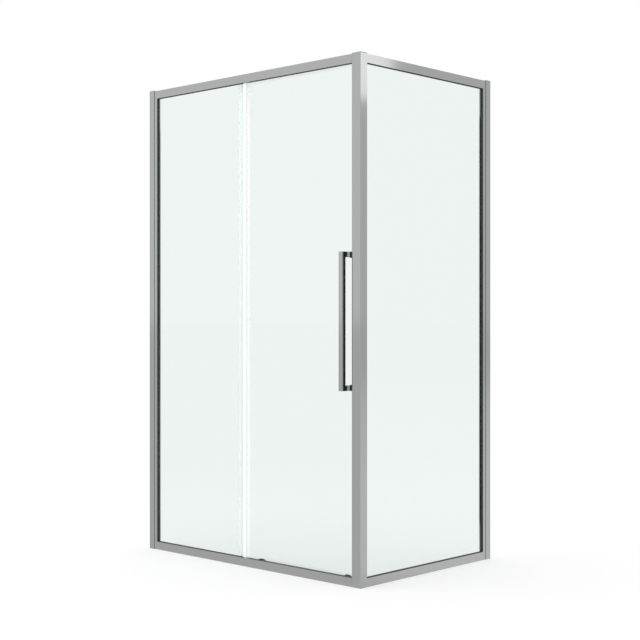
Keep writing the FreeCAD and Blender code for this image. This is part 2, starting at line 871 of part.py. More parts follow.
def block_pair(name, first, last, on_side=False):
    """Two blocks that carry the lower edge of a pane."""
    foot = size.rail_height - size.pocket_depth
    body = new_body(name)
    block = rectangle(0, size.glass_setback, size.setting_block_length, GLASS_BACK)
    feature = pad(body, "XY_Plane", [block], size.setting_block_height)
    repeat(body, feature, "X_Axis", last - first, 2)
    place(body, first, 0, foot, on_side)
    return body


# ---- seals ----------------------------------------------------------------------------------

def fixed_edge_seal():
    """Clear seal on the fixed pane's free edge, with a fin back to the door glass.

    The fin is cut short at its foot, where the release tabs pass."""
    wall = size.seal_wall
    front = size.glass_setback
    back = GLASS_BACK
    fin_tip = DOOR_FACE - size.running_gap
    outline = [
        (-size.seal_clip, front),
        (0, front),
        (0, back),
        (-size.seal_clip, back),
        (-size.seal_clip, back + wall),
        (0.5 * wall, back + wall),
        (1.5 * wall, fin_tip),
        (2.1 * wall, fin_tip),
        (1.2 * wall, back + wall),
        (1.2 * wall, front - wall),
        (-size.seal_clip, front - wall),
    ]
    body = new_body("fixed_edge_seal")
    pad(body, "XY_Plane", [outline], TOP_RAIL_EDGE - size.rail_height)
    passing_tab = rectangle(0, FRONT_RAIL_DEPTH, 3 * wall, DOOR_FACE)
    cut(body, "XY_Plane", 2 * (size.release_tab_rise + size.gasket_lip), [passing_tab])
    finish(body, FIXED_EDGE, 0, size.rail_height)


def door_trailing_seal():
    """Clear seal on the door's trailing edge, with a fin forward to the fixed pane."""
    wall = size.seal_wall
    front = DOOR_FACE
    back = DOOR_BACK
    fin_tip = GLASS_BACK + size.running_gap
    outline = [
        (size.seal_clip, front),
        (0, front),
        (0, back),
        (size.seal_clip, back),
        (size.seal_clip, back + wall),
        (-1.2 * wall, back + wall),
        (-1.2 * wall, front - wall),
        (-2.1 * wall, fin_tip),
        (-1.5 * wall, fin_tip),
        (-0.5 * wall, front - wall),
        (size.seal_clip, front - wall),
    ]
    foot = size.rail_height + size.gasket_lip + 1
    body = new_body("door_trailing_seal")
    pad(body, "XY_Plane", [outline], TOP_RAIL_EDGE - size.gasket_lip - 1 - foot)
    finish(body, DOOR_TRAILING, 0, foot)


def door_closing_seal():
    """Seal on the door's closing edge: a clip on the glass and a magnet in its bulb."""
    wall = size.seal_wall
    front = DOOR_FACE
    back = DOOR_BACK
    tip = DOOR_SEAL_TIP
    half = size.magnet_width / 2
    outline = [
        (-size.seal_clip, front),
        (0, front),
        (0, back),
        (-size.seal_clip, back),
        (-size.seal_clip, back + wall),
        (wall, back + wall),
        (tip, DOOR_MIDDLE + half),
        (tip, DOOR_MIDDLE - half),
        (wall, front - wall),
        (-size.seal_clip, front - wall),
    ]
    body = new_body("door_closing_seal")
    pad(body, "XY_Plane", [outline, door_magnet_outline()], DOOR_HEIGHT)
    finish(body, DOOR_CLOSING, 0, size.door_floor_gap)


def magnet_outline(face):
    """A magnet bar whose face stands at that distance along, in the door's plane."""
    half = size.magnet_bar_width / 2
    return rectangle(face - size.magnet_bar_thickness, DOOR_MIDDLE - half, face, DOOR_MIDDLE + half)


def door_magnet_outline():
    """The magnet in the door's seal, measured from the closing edge of the glass."""
    return magnet_outline(DOOR_SEAL_TIP - size.magnet_cover)


def post_magnet_outline():
    """The magnet in the post's strip, measured from the inner side of the post."""
    return magnet_outline(size.magnet_cover + size.magnet_bar_thickness - size.magnet_thickness)


def post_magnet_strip():
    """Magnet strip on the inner side of the post, facing the door's closing edge."""
    half = size.magnet_width / 2
    foot = half + size.magnet_cover
    thick = size.magnet_thickness
    outline = [
        (0, DOOR_MIDDLE - foot),
        (0, DOOR_MIDDLE + foot),
        (-thick, DOOR_MIDDLE + half),
        (-thick, DOOR_MIDDLE - half),
    ]
    body = new_body("post_magnet_strip")
    pad(body, "XY_Plane", [outline, post_magnet_outline()], size.frame_height - 2 * size.cap_thickness)
    finish(body, size.enclosure_width - size.frame_depth, 0, size.cap_thickness)


def magnet_bars():
    """The magnets inside the two seals."""
    door_bar = new_body("door_magnet_bar")
    pad(door_bar, "XY_Plane", [door_magnet_outline()], DOOR_HEIGHT)
    finish(door_bar, DOOR_CLOSING, 0, size.door_floor_gap)
    post_bar = new_body("post_magnet_bar")
    pad(post_bar, "XY_Plane", [post_magnet_outline()], size.frame_height - 2 * size.cap_thickness)
    finish(post_bar, size.enclosure_width - size.frame_depth, 0, size.cap_thickness)


# ---- screws, connectors and stops of the frame ----------------------------------------------

def screw_outline(shank_radius, shank_length, head_radius, head_height, points_back=False):
    """Half of a pan-head screw as (along the axis, radius), its head seat at zero."""
    sign = -1 if points_back else 1
    return [
        (-sign * head_height, 0),
        (-sign * head_height, 0.7 * head_radius),
        (0, head_radius),
        (0, shank_radius),
        (sign * shank_length, shank_radius),
        (sign * shank_length, 0),
    ]


def rail_end_screws(name, pocket_back, seat, shank_length, points_back=False, on_side=False):
    """The four screws at one end of a wall's two rails."""
    body = new_body(name)
    outline = screw_outline(size.rail_screw_radius, shank_length, size.rail_screw_head_radius,
                            size.rail_screw_head_height, points_back)
    feature = turn(body, "XY_Plane", outline, "H_Axis")
    across = pocket_back - size.port_boss / 2 - PORT_INSET
    bottom = size.rail_height - PORT_HEIGHT
    upwards = ("Z_Axis", TOP_RAIL_EDGE + PORT_HEIGHT - bottom, 2)
    repeat(body, feature, "Y_Axis", across, 2, second=upwards)
    place(body, seat, PORT_INSET, bottom, on_side)
    return body


def rail_screws():
    """The long screws through the jambs and the short ones inside the post."""
    front_back = TRACK_RIB
    long_shank = size.jamb_width + size.rail_screw_grip
    group("rail_screws", [
        rail_end_screws("front_jamb_screws", front_back, JAMB_START, long_shank),
        rail_end_screws("post_screws", front_back, POST_LEFT + size.profile_wall,
                        size.profile_wall + size.rail_screw_grip, points_back=True),
        rail_end_screws("side_jamb_screws", FRAME_POCKET_BACK, size.enclosure_depth - JAMB_START,
                        long_shank, points_back=True, on_side=True),
    ])


def side_rail_connectors():
    """Two blocks, half in a side rail's chamber and half in the post's pocket."""
    section = chamber_section(TRACK_RIB, play=size.snap_play)
    blocks = []
    for name, is_top in (("side_rail_connector_top", True), ("side_rail_connector_bottom", False)):
        body = new_body(name)
        corners = section if is_top else upended(section, size.rail_height)
        pad(body, "YZ_Plane", [corners], 2 * size.pocket_depth)
        place(body, POST_POCKET_FLOOR, 0, TOP_RAIL_EDGE if is_top else 0, on_side=True)
        blocks.append(body)
    group("side_rail_connectors", blocks)


def axial(outline):
    """An outline of (along the axis, radius) turned to (radius, along the axis)."""
    return [(corner[1], corner[0], *corner[2:]) for corner in outline]


def channel_screw_outline():
    """Half of a short screw through a channel's inner flange, as (radius, setback)."""
    return axial(screw_outline(size.channel_screw_radius, size.channel_screw_length,
                               size.channel_screw_head_radius, size.rail_screw_head_height,
                               points_back=True))


def cap_outline():
    """Half of the domed cap over a channel screw, as (radius, setback)."""
    hollow = size.channel_screw_head_radius + size.hole_play
    ceiling = size.rail_screw_head_height + size.hole_play
    crown = ceiling + size.channel_cap_shell
    return [
        (hollow, 0),
        (size.channel_cap_radius, 0),
        (0.8 * size.channel_cap_radius, crown),
        (0, crown),
        (0, ceiling),
        (hollow, ceiling),
    ]


def row_at_channels(name, outline):
    """Three turned pieces on each channel's inner flange, as one node."""
    rows = []
    for wall_name, line, on_side in (
        ("front", CHANNEL_SCREW_LINE, False),
        ("side", size.enclosure_depth - CHANNEL_SCREW_LINE, True),
    ):
        body = new_body(f"{wall_name}_{name}")
        feature = turn(body, "XY_Plane", outline, "V_Axis")
        repeat(body, feature, "Z_Axis", CHANNEL_SCREW_SPACING, 3)
        place(body, line, size.frame_depth + CHANNEL_PROUD, size.channel_screw_first, on_side)
        rows.append(body)
    group(name, rows)


def door_stops():
    """The two stops in the top track, which end the door's travel at its rollers."""
    reach = TOP_WHEEL_SPACING / 2 + size.top_wheel_radius + size.seat_gap
    face = ROLLER_RIGHT + reach
    length = POST_LEFT - face
    front = TRACK_RIB + size.profile_wall
    notch = size.bead_width / 2 + size.snap_play
    step = BEAD_CREST + size.snap_play
    top = size.rail_height - size.track_lip - size.seat_gap
    section = [
        (front, size.track_floor),
        (front, top),
        (FRONT_RAIL_DEPTH, top),
        (FRONT_RAIL_DEPTH, step),
        (TRACK_LINE - notch, step),
        (TRACK_LINE - notch, size.track_floor),
    ]
    body = new_body("door_stops")
    feature = pad(body, "YZ_Plane", [section], length)
    spread = ROLLER_SPACING + 2 * reach + DOOR_TRAVEL + length
    repeat(body, feature, "X_Axis", spread, 2, backwards=True)
    finish(body, face, 0, TOP_RAIL_EDGE)


# ---- sliding door ---------------------------------------------------------------------------

def door_glass():
    """The sliding pane with the holes for its handle and rollers."""
    holes = []
    for line in (ROLLER_LEFT - DOOR_TRAILING, ROLLER_RIGHT - DOOR_TRAILING):
        holes.append((line, TOP_AXLE - size.door_floor_gap, size.glass_hole_radius))
        holes.append((line, HOUSING_BOLT_HEIGHT - size.door_floor_gap, size.glass_hole_radius))
    for height in (HANDLE_BOLT_BOTTOM, HANDLE_BOLT_BOTTOM + HANDLE_BOLT_SPACING):
        holes.append((HANDLE_LINE - DOOR_TRAILING, height - size.door_floor_gap, size.handle_hole_radius))
    body = pane("door_glass", size.door_width, DOOR_HEIGHT, holes)
    finish(body, DOOR_TRAILING, DOOR_FACE, size.door_floor_gap)


def door_handle():
    """Square bar with two square arms, drilled and tapped from the door side."""
    width = size.handle_width
    front = -size.handle_reach
    inner = front + size.handle_bar_depth
    height = size.handle_length
    outline = [
        (front, 0),
        (0, 0),
        (0, width),
        (inner, width),
        (inner, height - width),
        (0, height - width),
        (0, height),
        (front, height),
    ]
    body = new_body("door_handle")
    feature = pad(body, "YZ_Plane", [outline], width)
    soften(body, "Fillet", feature, size.handle_rounding, lies_before_glass)
    tapped = size.bolt_radius + size.thread_play
    holes = [(width / 2, width / 2 + HANDLE_BOLT_SPACING * step, tapped) for step in range(2)]
    cut(body, "XZ_Plane", 2 * size.handle_tapped_depth, circles=holes)
    finish(body, HANDLE_LINE - width / 2, HANDLE_FOOT, size.handle_centre_height - height / 2)


def lies_before_glass(edge):
    """Whether an edge of the handle runs outside the faces that stand on the glass."""
    return any(vertex.Y < -0.01 for vertex in edge.Vertexes)


def handle_washers():
    """The square washers between the handle's arms and the glass."""
    body = new_body("handle_washers")
    half = size.handle_width / 2 - size.handle_washer_thickness / 2
    square = rectangle(-half, -half, half, half)
    feature = pad(body, "XZ_Plane", [square], size.handle_washer_thickness,
                  circles=[(0, 0, size.bolt_radius + size.hole_play)])
    repeat(body, feature, "Z_Axis", HANDLE_BOLT_SPACING, 2)
    finish(body, HANDLE_LINE, HANDLE_FOOT, HANDLE_BOLT_BOTTOM)


def inside_cap_outline():
    """Half of a round inside cap as (radius, distance from the glass), hollow over the bolt head."""
    hole = size.bolt_radius + size.hole_play
    rim = size.inside_cap_radius
    floor = size.inside_cap_floor
    return [
        (hole, 0),
        (rim, 0),
        (rim, 1.8 * floor),
        (0.7 * rim, 2.5 * floor),
        (0.6 * rim, floor),
        (hole, floor),
    ]


def bolt_outline(grip):
    """Half of a bolt as (radius, distance from the glass); its head sits in the inside cap."""
    radius = size.bolt_radius
    seat = size.inside_cap_floor
    return [
        (0, -grip),
        (radius, -grip),
        (radius, seat),
        (2 * radius, seat),
        (2 * radius, seat + radius),
        (radius, seat + radius),
        (0, seat + 0.2 * radius),
    ]


def handle_fixings():
    """Round caps and bolts on the room side of the handle's two holes."""
    grip = size.glass_thickness + size.handle_bolt_grip
    for name, outline in (("handle_inner_caps", inside_cap_outline()), ("handle_bolts", bolt_outline(grip))):
        body = new_body(name)
        feature = turn(body, "XY_Plane", outline, "V_Axis")
        repeat(body, feature, "Z_Axis", HANDLE_BOLT_SPACING, 2)
        finish(body, HANDLE_LINE, DOOR_BACK, HANDLE_BOLT_BOTTOM)


def roller_fixings():
    """Round caps and bolts on the room side of the four roller holes."""
    grip = size.glass_thickness
    upwards = ("Z_Axis", TOP_AXLE - HOUSING_BOLT_HEIGHT, 2)
    for name, outline in (("roller_caps", inside_cap_outline()), ("roller_bolts", bolt_outline(grip))):
        body = new_body(name)
        feature = turn(body, "XY_Plane", outline, "V_Axis")
        repeat(body, feature, "X_Axis", ROLLER_SPACING, 2, second=upwards)
        finish(body, ROLLER_LEFT, DOOR_BACK, HOUSING_BOLT_HEIGHT)


# ---- rollers --------------------------------------------------------------------------------

def pad_bush(body, height):
    """The tapped bush that passes through the door glass from its outer face."""
    bush = [(0, height, size.glass_hole_radius - size.bush_play),
            (0, height, size.bolt_radius + size.thread_play)]
    pad(body, "XZ_Plane", [], size.glass_thickness, circles=bush, offset=-DOOR_FACE)


def top_roller_bracket(name, line):
    """Plate that carries two top wheels, with a bush that fills the glass hole."""
    margin = size.bracket_margin
    half_width = TOP_WHEEL_SPACING / 2 + margin
    plate = [
        (-half_width, TOP_AXLE - margin, 0.9 * margin),
        (half_width, TOP_AXLE - margin, 0.9 * margin),
        (half_width, TOP_AXLE + margin, 0.9 * margin),
        (-half_width, TOP_AXLE + margin, 0.9 * margin),
    ]
    body = new_body(name)
    pad(body, "XZ_Plane", [plate], size.bracket_thickness,
        circles=pin_holes(TOP_WHEEL_SPACING, TOP_AXLE), offset=size.bracket_thickness - DOOR_FACE)
    pad_bush(body, TOP_AXLE)
    finish(body, line, 0)


def pin_holes(spacing, height):
    """Circles for the pins of a pair of wheels."""
    radius = size.wheel_pin_radius + size.thread_play
    return [(sign * spacing / 2, height, radius) for sign in (-1, 1)]


def wheel_outline(radius):
    """Half of a grooved wheel as (radius, distance from its front face)."""
    flank = 0.3
    groove = radius - size.wheel_groove_depth
    bore = size.wheel_pin_radius + size.pin_play
    recess = size.pin_head_radius + size.running_gap
    recess_floor = size.pin_head_thickness + size.running_gap
    groove_front = size.wheel_width / 2 - size.bead_width / 2 - size.running_gap
    groove_back = size.wheel_width - groove_front
    return [
        (bore, recess_floor),
        (recess, recess_floor),
        (recess, 0),
        (radius, 0),
        (radius, groove_front - flank),
        (groove, groove_front),
        (groove, groove_back),
        (radius, groove_back + flank),
        (radius, size.wheel_width),
        (bore, size.wheel_width),
    ]


def wheel(name, radius, line, height):
    """One roller wheel."""
    body = new_body(name)
    turn(body, "XY_Plane", wheel_outline(radius), "V_Axis")
    finish(body, line, WHEEL_FACE, height)


def pin_outline(plate_back):
    """Half of a wheel pin as (radius, setback), its head in the recess of the wheel."""
    head_back = WHEEL_FACE + size.pin_head_thickness
    return [
        (0, WHEEL_FACE),
        (size.pin_head_radius, WHEEL_FACE),
        (size.pin_head_radius, head_back),
        (size.wheel_pin_radius, head_back),
        (size.wheel_pin_radius, plate_back),
        (0, plate_back),
    ]


def wheel_pins(name, plate_back, spacing, line, height, second=None):
    """The pins of a pair of wheels, or of two pairs."""
    body = new_body(name)
    feature = turn(body, "XY_Plane", pin_outline(plate_back), "V_Axis")
    repeat(body, feature, "X_Axis", spacing, 2, second=second)
    finish(body, line - spacing / 2, 0, height)


def bottom_roller_housing(name, line):
    """Guide plate on the door: grooves for the release carriage and a ledge for its spring."""
    inner = CARRIAGE_HALF + size.running_gap
    outer = inner + size.guide_wall
    lip_edge = CARRIAGE_HALF - size.guide_overlap
    plate_face = DOOR_FACE - size.housing_plate
    lip_face = FRONT_RAIL_DEPTH + size.running_gap
    lip_back = CARRIAGE_FACE - size.running_gap
    foot = size.housing_floor_gap
    guide_foot = CARRIAGE_BOTTOM - size.release_travel
    guide_top = TAB_UNDERSIDE - size.release_travel - size.running_gap
    body = new_body(name)
    pad(body, "XZ_Plane", [rectangle(-outer, foot, outer, guide_top)], size.housing_plate, offset=-plate_face)
    for sign in (-1, 1):
        guide = [
            (sign * outer, plate_face),
            (sign * outer, lip_face),
            (sign * lip_edge, lip_face),
            (sign * lip_edge, lip_back),
            (sign * inner, lip_back),
            (sign * inner, plate_face),
        ]
        pad(body, "XY_Plane", [guide], guide_top - guide_foot, offset=guide_foot)
    ledge = rectangle(-SHELF_HALF, TRACK_LINE - size.spring_radius, SHELF_HALF, plate_face)
    pad(body, "XY_Plane", [ledge], size.ledge_thickness, offset=foot)
    pad_bush(body, HOUSING_BOLT_HEIGHT)
    finish(body, line, 0)


def release_carriage(name, line):
    """Sprung plate with two wheels; its tab shows above the rail and is pressed down."""
    half = CARRIAGE_HALF
    tab_half = size.release_tab_width / 2
    rounding = size.profile_rounding
    plate = [
        (-half, CARRIAGE_BOTTOM, 3 * rounding),
        (half, CARRIAGE_BOTTOM, 3 * rounding),
        (half, TAB_UNDERSIDE),
        (tab_half, TAB_UNDERSIDE),
        (tab_half, TAB_TOP, rounding),
        (-tab_half, TAB_TOP, rounding),
        (-tab_half, TAB_UNDERSIDE),
        (-half, TAB_UNDERSIDE),
    ]
    tab_face = FRONT_RAIL_DEPTH + size.running_gap
    tab = [
        (-tab_half, tab_face, rounding),
        (tab_half, tab_face, rounding),
        (tab_half, CARRIAGE_FACE),
        (-tab_half, CARRIAGE_FACE),
    ]
    shelf = rectangle(-SHELF_HALF, TRACK_LINE - size.spring_radius, SHELF_HALF, CARRIAGE_FACE)
    body = new_body(name)
    pad(body, "XZ_Plane", [plate], size.carriage_thickness,
        circles=pin_holes(BOTTOM_WHEEL_SPACING, BOTTOM_AXLE), offset=-CARRIAGE_FACE)
    pad(body, "XY_Plane", [tab], size.release_tab_height, offset=TAB_UNDERSIDE)
    pad(body, "XY_Plane", [shelf], size.carriage_thickness, offset=SPRING_HEAD)
    finish(body, line, 0)


def release_spring(name, line):
    """Compression spring between the housing's ledge and the carriage's shelf, as its sleeve."""
    body = new_body(name)
    rings = [(0, 0, size.spring_radius), (0, 0, size.spring_radius - size.spring_wire)]
    pad(body, "XY_Plane", [], SPRING_HEAD - SPRING_FOOT, circles=rings)
    finish(body, line, TRACK_LINE, SPRING_FOOT)


# ---- the enclosure --------------------------------------------------------------------------

def front_frame():
    """Everything that stands between the left wall and the corner, but for the glass."""
    length = POST_LEFT - JAMB_EDGE
    back = TRACK_RIB
    wall_channel("front_wall_channel", 0)
    channel_cap("front_channel_cap", 0)
    wall_jamb("front_wall_jamb", back, JAMB_START)
    rail("front_top_rail", track_rail_section(), back, length, True, JAMB_EDGE)
    rail("front_bottom_rail", track_rail_section(), back, length, False, JAMB_EDGE)
    rail_infill("top_rail_infill", True)
    rail_infill("bottom_rail_infill", False)
    corner_post()
    corner_post_cap()
    post_cover_strip()
    door_stops()


def side_frame():
    """Everything that stands between the corner and the back wall, but for the glass."""
    start = size.post_side_width
    wall_line = size.enclosure_depth
    back = FRAME_POCKET_BACK
    wall_channel("side_wall_channel", wall_line, on_side=True)
    channel_cap("side_channel_cap", wall_line, on_side=True)
    wall_jamb("side_wall_jamb", back, wall_line - JAMB_START, on_side=True)
    rail("side_top_rail", plain_rail_section(), back, SIDE_RAIL_LENGTH, True, start, on_side=True)
    rail("side_bottom_rail", plain_rail_section(), back, SIDE_RAIL_LENGTH, False, start, on_side=True)
    side_rail_connectors()


def frame_fixings():
    """The screws of the frame and their caps."""
    rail_screws()
    row_at_channels("channel_screws", channel_screw_outline())
    row_at_channels("channel_screw_caps", cap_outline())


def glazing():
    """The two fixed panes with what holds them."""
    start = JAMB_EDGE - GLASS_GRIP
    glass = pane("fixed_glass", FIXED_EDGE - start, GLASS_HEIGHT)
    finish(glass, start, size.glass_setback, GLASS_BOTTOM)
    front_gasket("fixed_outer_gasket", outer_wedge())
    front_gasket("fixed_inner_gasket", inner_wedge())

    side_start = size.post_side_width - GLASS_GRIP
    side_width = SIDE_RAIL_LENGTH + 2 * GLASS_GRIP
    side = pane("side_glass", side_width, GLASS_HEIGHT)
    finish(side, side_start, size.glass_setback, GLASS_BOTTOM, on_side=True)
    side_gasket("side_outer_gasket", outer_wedge())
    side_gasket("side_inner_gasket", inner_wedge())

    inset = size.setting_block_inset
    far = inset + size.setting_block_length
    group("setting_blocks", [
        block_pair("fixed_setting_blocks", start + inset, FIXED_EDGE - far),
        block_pair("side_setting_blocks", side_start + inset, side_start + side_width - far, on_side=True),
    ])


def seals():
    """The upright seals and the magnets in the closing pair."""
    fixed_edge_seal()
    post_magnet_strip()
    door_closing_seal()
    door_trailing_seal()
    magnet_bars()


def sliding_door():
    """The door pane with its handle and the fixings on its room side."""
    door_glass()
    door_handle()
    handle_washers()
    handle_fixings()
    roller_fixings()


def rollers():
    """Two pairs of hanging wheels at the top, and two sprung pairs at the bottom."""
    wheel_pins("top_wheel_pins", DOOR_FACE - size.thread_play, TOP_WHEEL_SPACING, ROLLER_LEFT, TOP_AXLE,
               second=("X_Axis", ROLLER_SPACING, 2))
    for side, line in (("left", ROLLER_LEFT), ("right", ROLLER_RIGHT)):
        top_roller_bracket(f"top_roller_bracket_{side}", line)
        bottom_roller_housing(f"bottom_roller_housing_{side}", line)
        release_carriage(f"release_carriage_{side}", line)
        release_spring(f"release_spring_{side}", line)
        wheel_pins(f"bottom_wheel_pins_{side}", CARRIAGE_BACK, BOTTOM_WHEEL_SPACING, line, BOTTOM_AXLE)
        for end, sign in (("a", -1), ("b", 1)):
            top_line = line + sign * TOP_WHEEL_SPACING / 2
            wheel(f"top_wheel_{side}_{end}", size.top_wheel_radius, top_line, TOP_AXLE)
            bottom_line = line + sign * BOTTOM_WHEEL_SPACING / 2
            wheel(f"bottom_wheel_{side}_{end}", size.bottom_wheel_radius, bottom_line, BOTTOM_AXLE)


def checked_and_written():
    """Recomputes the document, refuses anything broken and writes one STEP file for each node."""
    document.recompute()
    for item in document.Objects:
        if "Invalid" in item.State or "Error" in item.State:
            raise ValueError(f"{item.Label} ({item.Name}) is {item.State}")
    for node in nodes:
        if node.Shape.isNull() or not node.Shape.isValid():
            raise ValueError(f"{node.Label} has no valid shape")
    os.makedirs("parts", exist_ok=True)
    for node in nodes:
        node.Shape.exportStep(f"parts/{node.Label}.step")
    print(len(nodes), "nodes,", sum(len(node.Shape.Solids) for node in nodes), "solids")


front_frame()
side_frame()
frame_fixings()
glazing()
seals()
sliding_door()
rollers()
checked_and_written()
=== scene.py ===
"""Looks of a corner shower enclosure with a sliding door: bright aluminium, clear glass, seals and rollers.

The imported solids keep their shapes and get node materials. Round pieces that a smooth surface shows
better, and those with detail that the solids leave out, are made again here. Lengths are in metres.
"""

import json
import math

import bpy
import numpy as np
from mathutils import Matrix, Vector


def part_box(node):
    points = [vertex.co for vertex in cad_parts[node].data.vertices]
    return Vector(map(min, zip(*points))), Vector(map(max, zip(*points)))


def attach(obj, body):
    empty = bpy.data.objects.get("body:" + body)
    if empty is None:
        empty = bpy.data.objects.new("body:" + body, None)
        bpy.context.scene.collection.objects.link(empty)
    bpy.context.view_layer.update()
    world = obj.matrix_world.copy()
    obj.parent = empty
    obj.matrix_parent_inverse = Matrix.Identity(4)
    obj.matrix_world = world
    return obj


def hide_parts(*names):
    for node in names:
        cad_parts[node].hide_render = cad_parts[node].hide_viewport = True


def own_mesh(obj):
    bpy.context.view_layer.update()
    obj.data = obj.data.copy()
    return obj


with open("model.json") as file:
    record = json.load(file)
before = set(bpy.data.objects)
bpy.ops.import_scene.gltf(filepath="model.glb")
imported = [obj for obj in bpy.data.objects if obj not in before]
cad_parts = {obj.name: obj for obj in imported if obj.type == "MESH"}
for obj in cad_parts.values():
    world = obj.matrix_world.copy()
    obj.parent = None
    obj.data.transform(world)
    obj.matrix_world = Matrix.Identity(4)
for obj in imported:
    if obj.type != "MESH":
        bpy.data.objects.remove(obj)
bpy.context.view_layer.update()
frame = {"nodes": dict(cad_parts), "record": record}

MM = 0.001

# ---- camera, as fitted to the photograph's edges ----
CAMERA_PLACE = (3.6477, -3.8440, 0.983)
CAMERA_HEADING = 43.231        # degrees to the left of straight in
CAMERA_TILT = -0.094           # degrees, downwards
LENS = 71.48                   # millimetres on a sensor 36 mm wide

# ---- studio, in metres ----
RIGHTWARDS = (0.685, 0.729, 0.0)      # level, to the right and back, as the camera sees it
CAMERAWARDS = (0.685, -0.729, 0.0)    # level, towards the camera
ROOM_LIGHT = 0.95              # strength of the room on matt surfaces
RIGHT_WALL = 0.83              # in the metal: the room's right half, its left half being 1
RIGHT_RAMP = 1.2               # how steeply the left half passes into the right half
CAMERA_WALL = 0.75             # in the metal: the side behind the camera
BEHIND_RAMP = 2.0              # how steeply that side comes in
BEHIND_START = 0.6             # taken off its ramp, so that it starts away from the middle
LEFT_FLOOR = 0.80              # in the metal: the floor on the left, where the seen floor is 1
LEFT_FLOOR_RAMP = 2.0          # how steeply it passes into the floor on the right, for each metre
FAR_FLOOR = 0.76               # in the metal: the floor far off on the right
FAR_FLOOR_RAMP = 0.06          # how steeply that floor comes in, for each metre
FAR_FLOOR_START = 0.18         # taken off its ramp, which so starts 3 m to the right
FLOOR_HALF = 150.0             # from the floor's middle to its edge
FLOOR_COLOUR = 0.8
FLOOR_SHADING = 0.47           # of the seen floor: its colour where it is shaded as matt
FLOOR_LIFT = 0.54              # of the seen floor: the light added to that
FADE_LENGTH = 2.6              # over which the seen floor's shading fades out
FADE_START = 0.45              # in fade lengths from the middle of the enclosure
KEY_PLACE = (-0.8, -2.2, 5.0)
KEY_AIM = (0, 0, 0.9)
KEY_SIDE = 2.4
KEY_POWER = 36                 # watts
CORNER_PLACE = (4.08, 2.82, 3.35)
CORNER_AIM = (0.6, -0.4, 1.8)
CORNER_SIDE = 1.5
CORNER_POWER = 6.2             # watts
CAMERA_REACH = 100             # to the farthest that the camera sees

# ---- pieces made again ----
BOLT_HEAD_HEIGHT = 2.5 * MM
BOLT_RADIUS = 2.5 * MM
BOLT_TIP = 0.75                # of the bolt's radius
BOLT_SOCKET = 3.0 * MM         # across the flats of its hexagon
BOLT_SOCKET_DEPTH = 1.5 * MM
BOLT_SOCKET_TAPER = 0.9        # of the socket's radius, at its bottom
BOLT_DOME_POWER = 0.6          # 1 would make the head's outline a quarter ellipse
THREAD_PITCH = 0.8 * MM
THREAD_DEPTH = 0.45 * MM
RINGS_PER_PITCH = 8
CAP_FLOOR = 2.4 * MM
CAP_BORE = 2.8 * MM
CAP_SHOULDER = 0.2             # of the cap's radius
CAP_DISH_RIM = 0.68            # of the cap's radius, at the dish's outer end
CAP_DISH_FLOOR = 0.6           # of the cap's radius, at the dish's bottom
CHANNEL_CAP_HOLLOW = 3.7 * MM
CHANNEL_CAP_CEILING = 2.5 * MM
CHANNEL_CAP_SKIRT = 0.35       # of the cap's height
CHANNEL_CAP_TIP = 0.01 * MM    # radius of the crown's last ring
PIN_RADIUS = 2.0 * MM
PIN_HEAD_HEIGHT = 1.2 * MM
PIN_HEAD_FACE = 0.85           # of the head's radius, at its outer face
PIN_HEAD_BEVEL = 0.3           # of the head's height
WHEEL_BORE = 2.08 * MM
WHEEL_RECESS = 3.6 * MM
WHEEL_RECESS_DEPTH = 1.5 * MM
WHEEL_GROOVE_DEPTH = 1.5 * MM
WHEEL_GROOVE_HALF = 1.3 * MM
SPRING_WIRE = 0.6 * MM
SPRING_TURNS = 5
SPRING_CLOSING = 0.6           # how much less the coil rises at its ends: 1 would close them fully
RELEASE_TRAVEL = 3.0 * MM
EDGE_BREAK = 0.15 * MM
BREAK_FROM = 40                # degrees between two faces, from which their edge is broken
SHARP_FROM = 35                # degrees between two faces, from which their edge is shaded as sharp
LEAST_SOLID = 2.0 * MM         # longest side of the smallest piece that counts as a solid

# ---- colours, as written in the photograph's own scale from 0 to 255 ----
ALUMINIUM = (173, 175, 175)
GLASS_FACE = (238, 244, 242)
GLASS_EDGE = (150, 186, 172)
# painted dark reflection: the colour of the glass where the metal mirrors it
GLASS_PAINTED_DARK_IN_METAL = (88, 93, 92)
RUBBER = (56, 58, 58)
RUBBER_BLOOM = (82, 84, 83)
SEAL = (252, 253, 253)
SEAL_DULL = (244, 247, 247)
GREY_MOULDING = (166, 168, 168)
DARK_MOULDING = (62, 64, 65)
INFILL = (108, 110, 110)
NYLON = (226, 226, 221)
STEEL = (188, 188, 186)
CHROME = (176, 180, 179)
FERRITE = (58, 50, 46)
WHITE = (255, 255, 255)

# ---- finishes, as shares ----
ALONG_DIE_LINES = 0.002        # how slowly the die lines change along a profile, against across it
ALONG_STREAKS = 0.06           # the same for its streaks
FACE_NORMAL = 0.9              # of a pane's normal across its thickness, above which a point is on a face
SEAL_GLOW = 0.32               # light of its own that makes the seal as pale as the photograph has it


def linear(colour):
    """A colour from 0 to 255 as the linear light that shaders use: ((c + 0.055) / 1.055) to the power 2.4."""
    return tuple(((c / 255 + 0.055) / 1.055) ** 2.4 if c > 10 else c / 255 / 12.92 for c in colour) + (1.0,)


# ---- shader maths ---------------------------------------------------------------------------

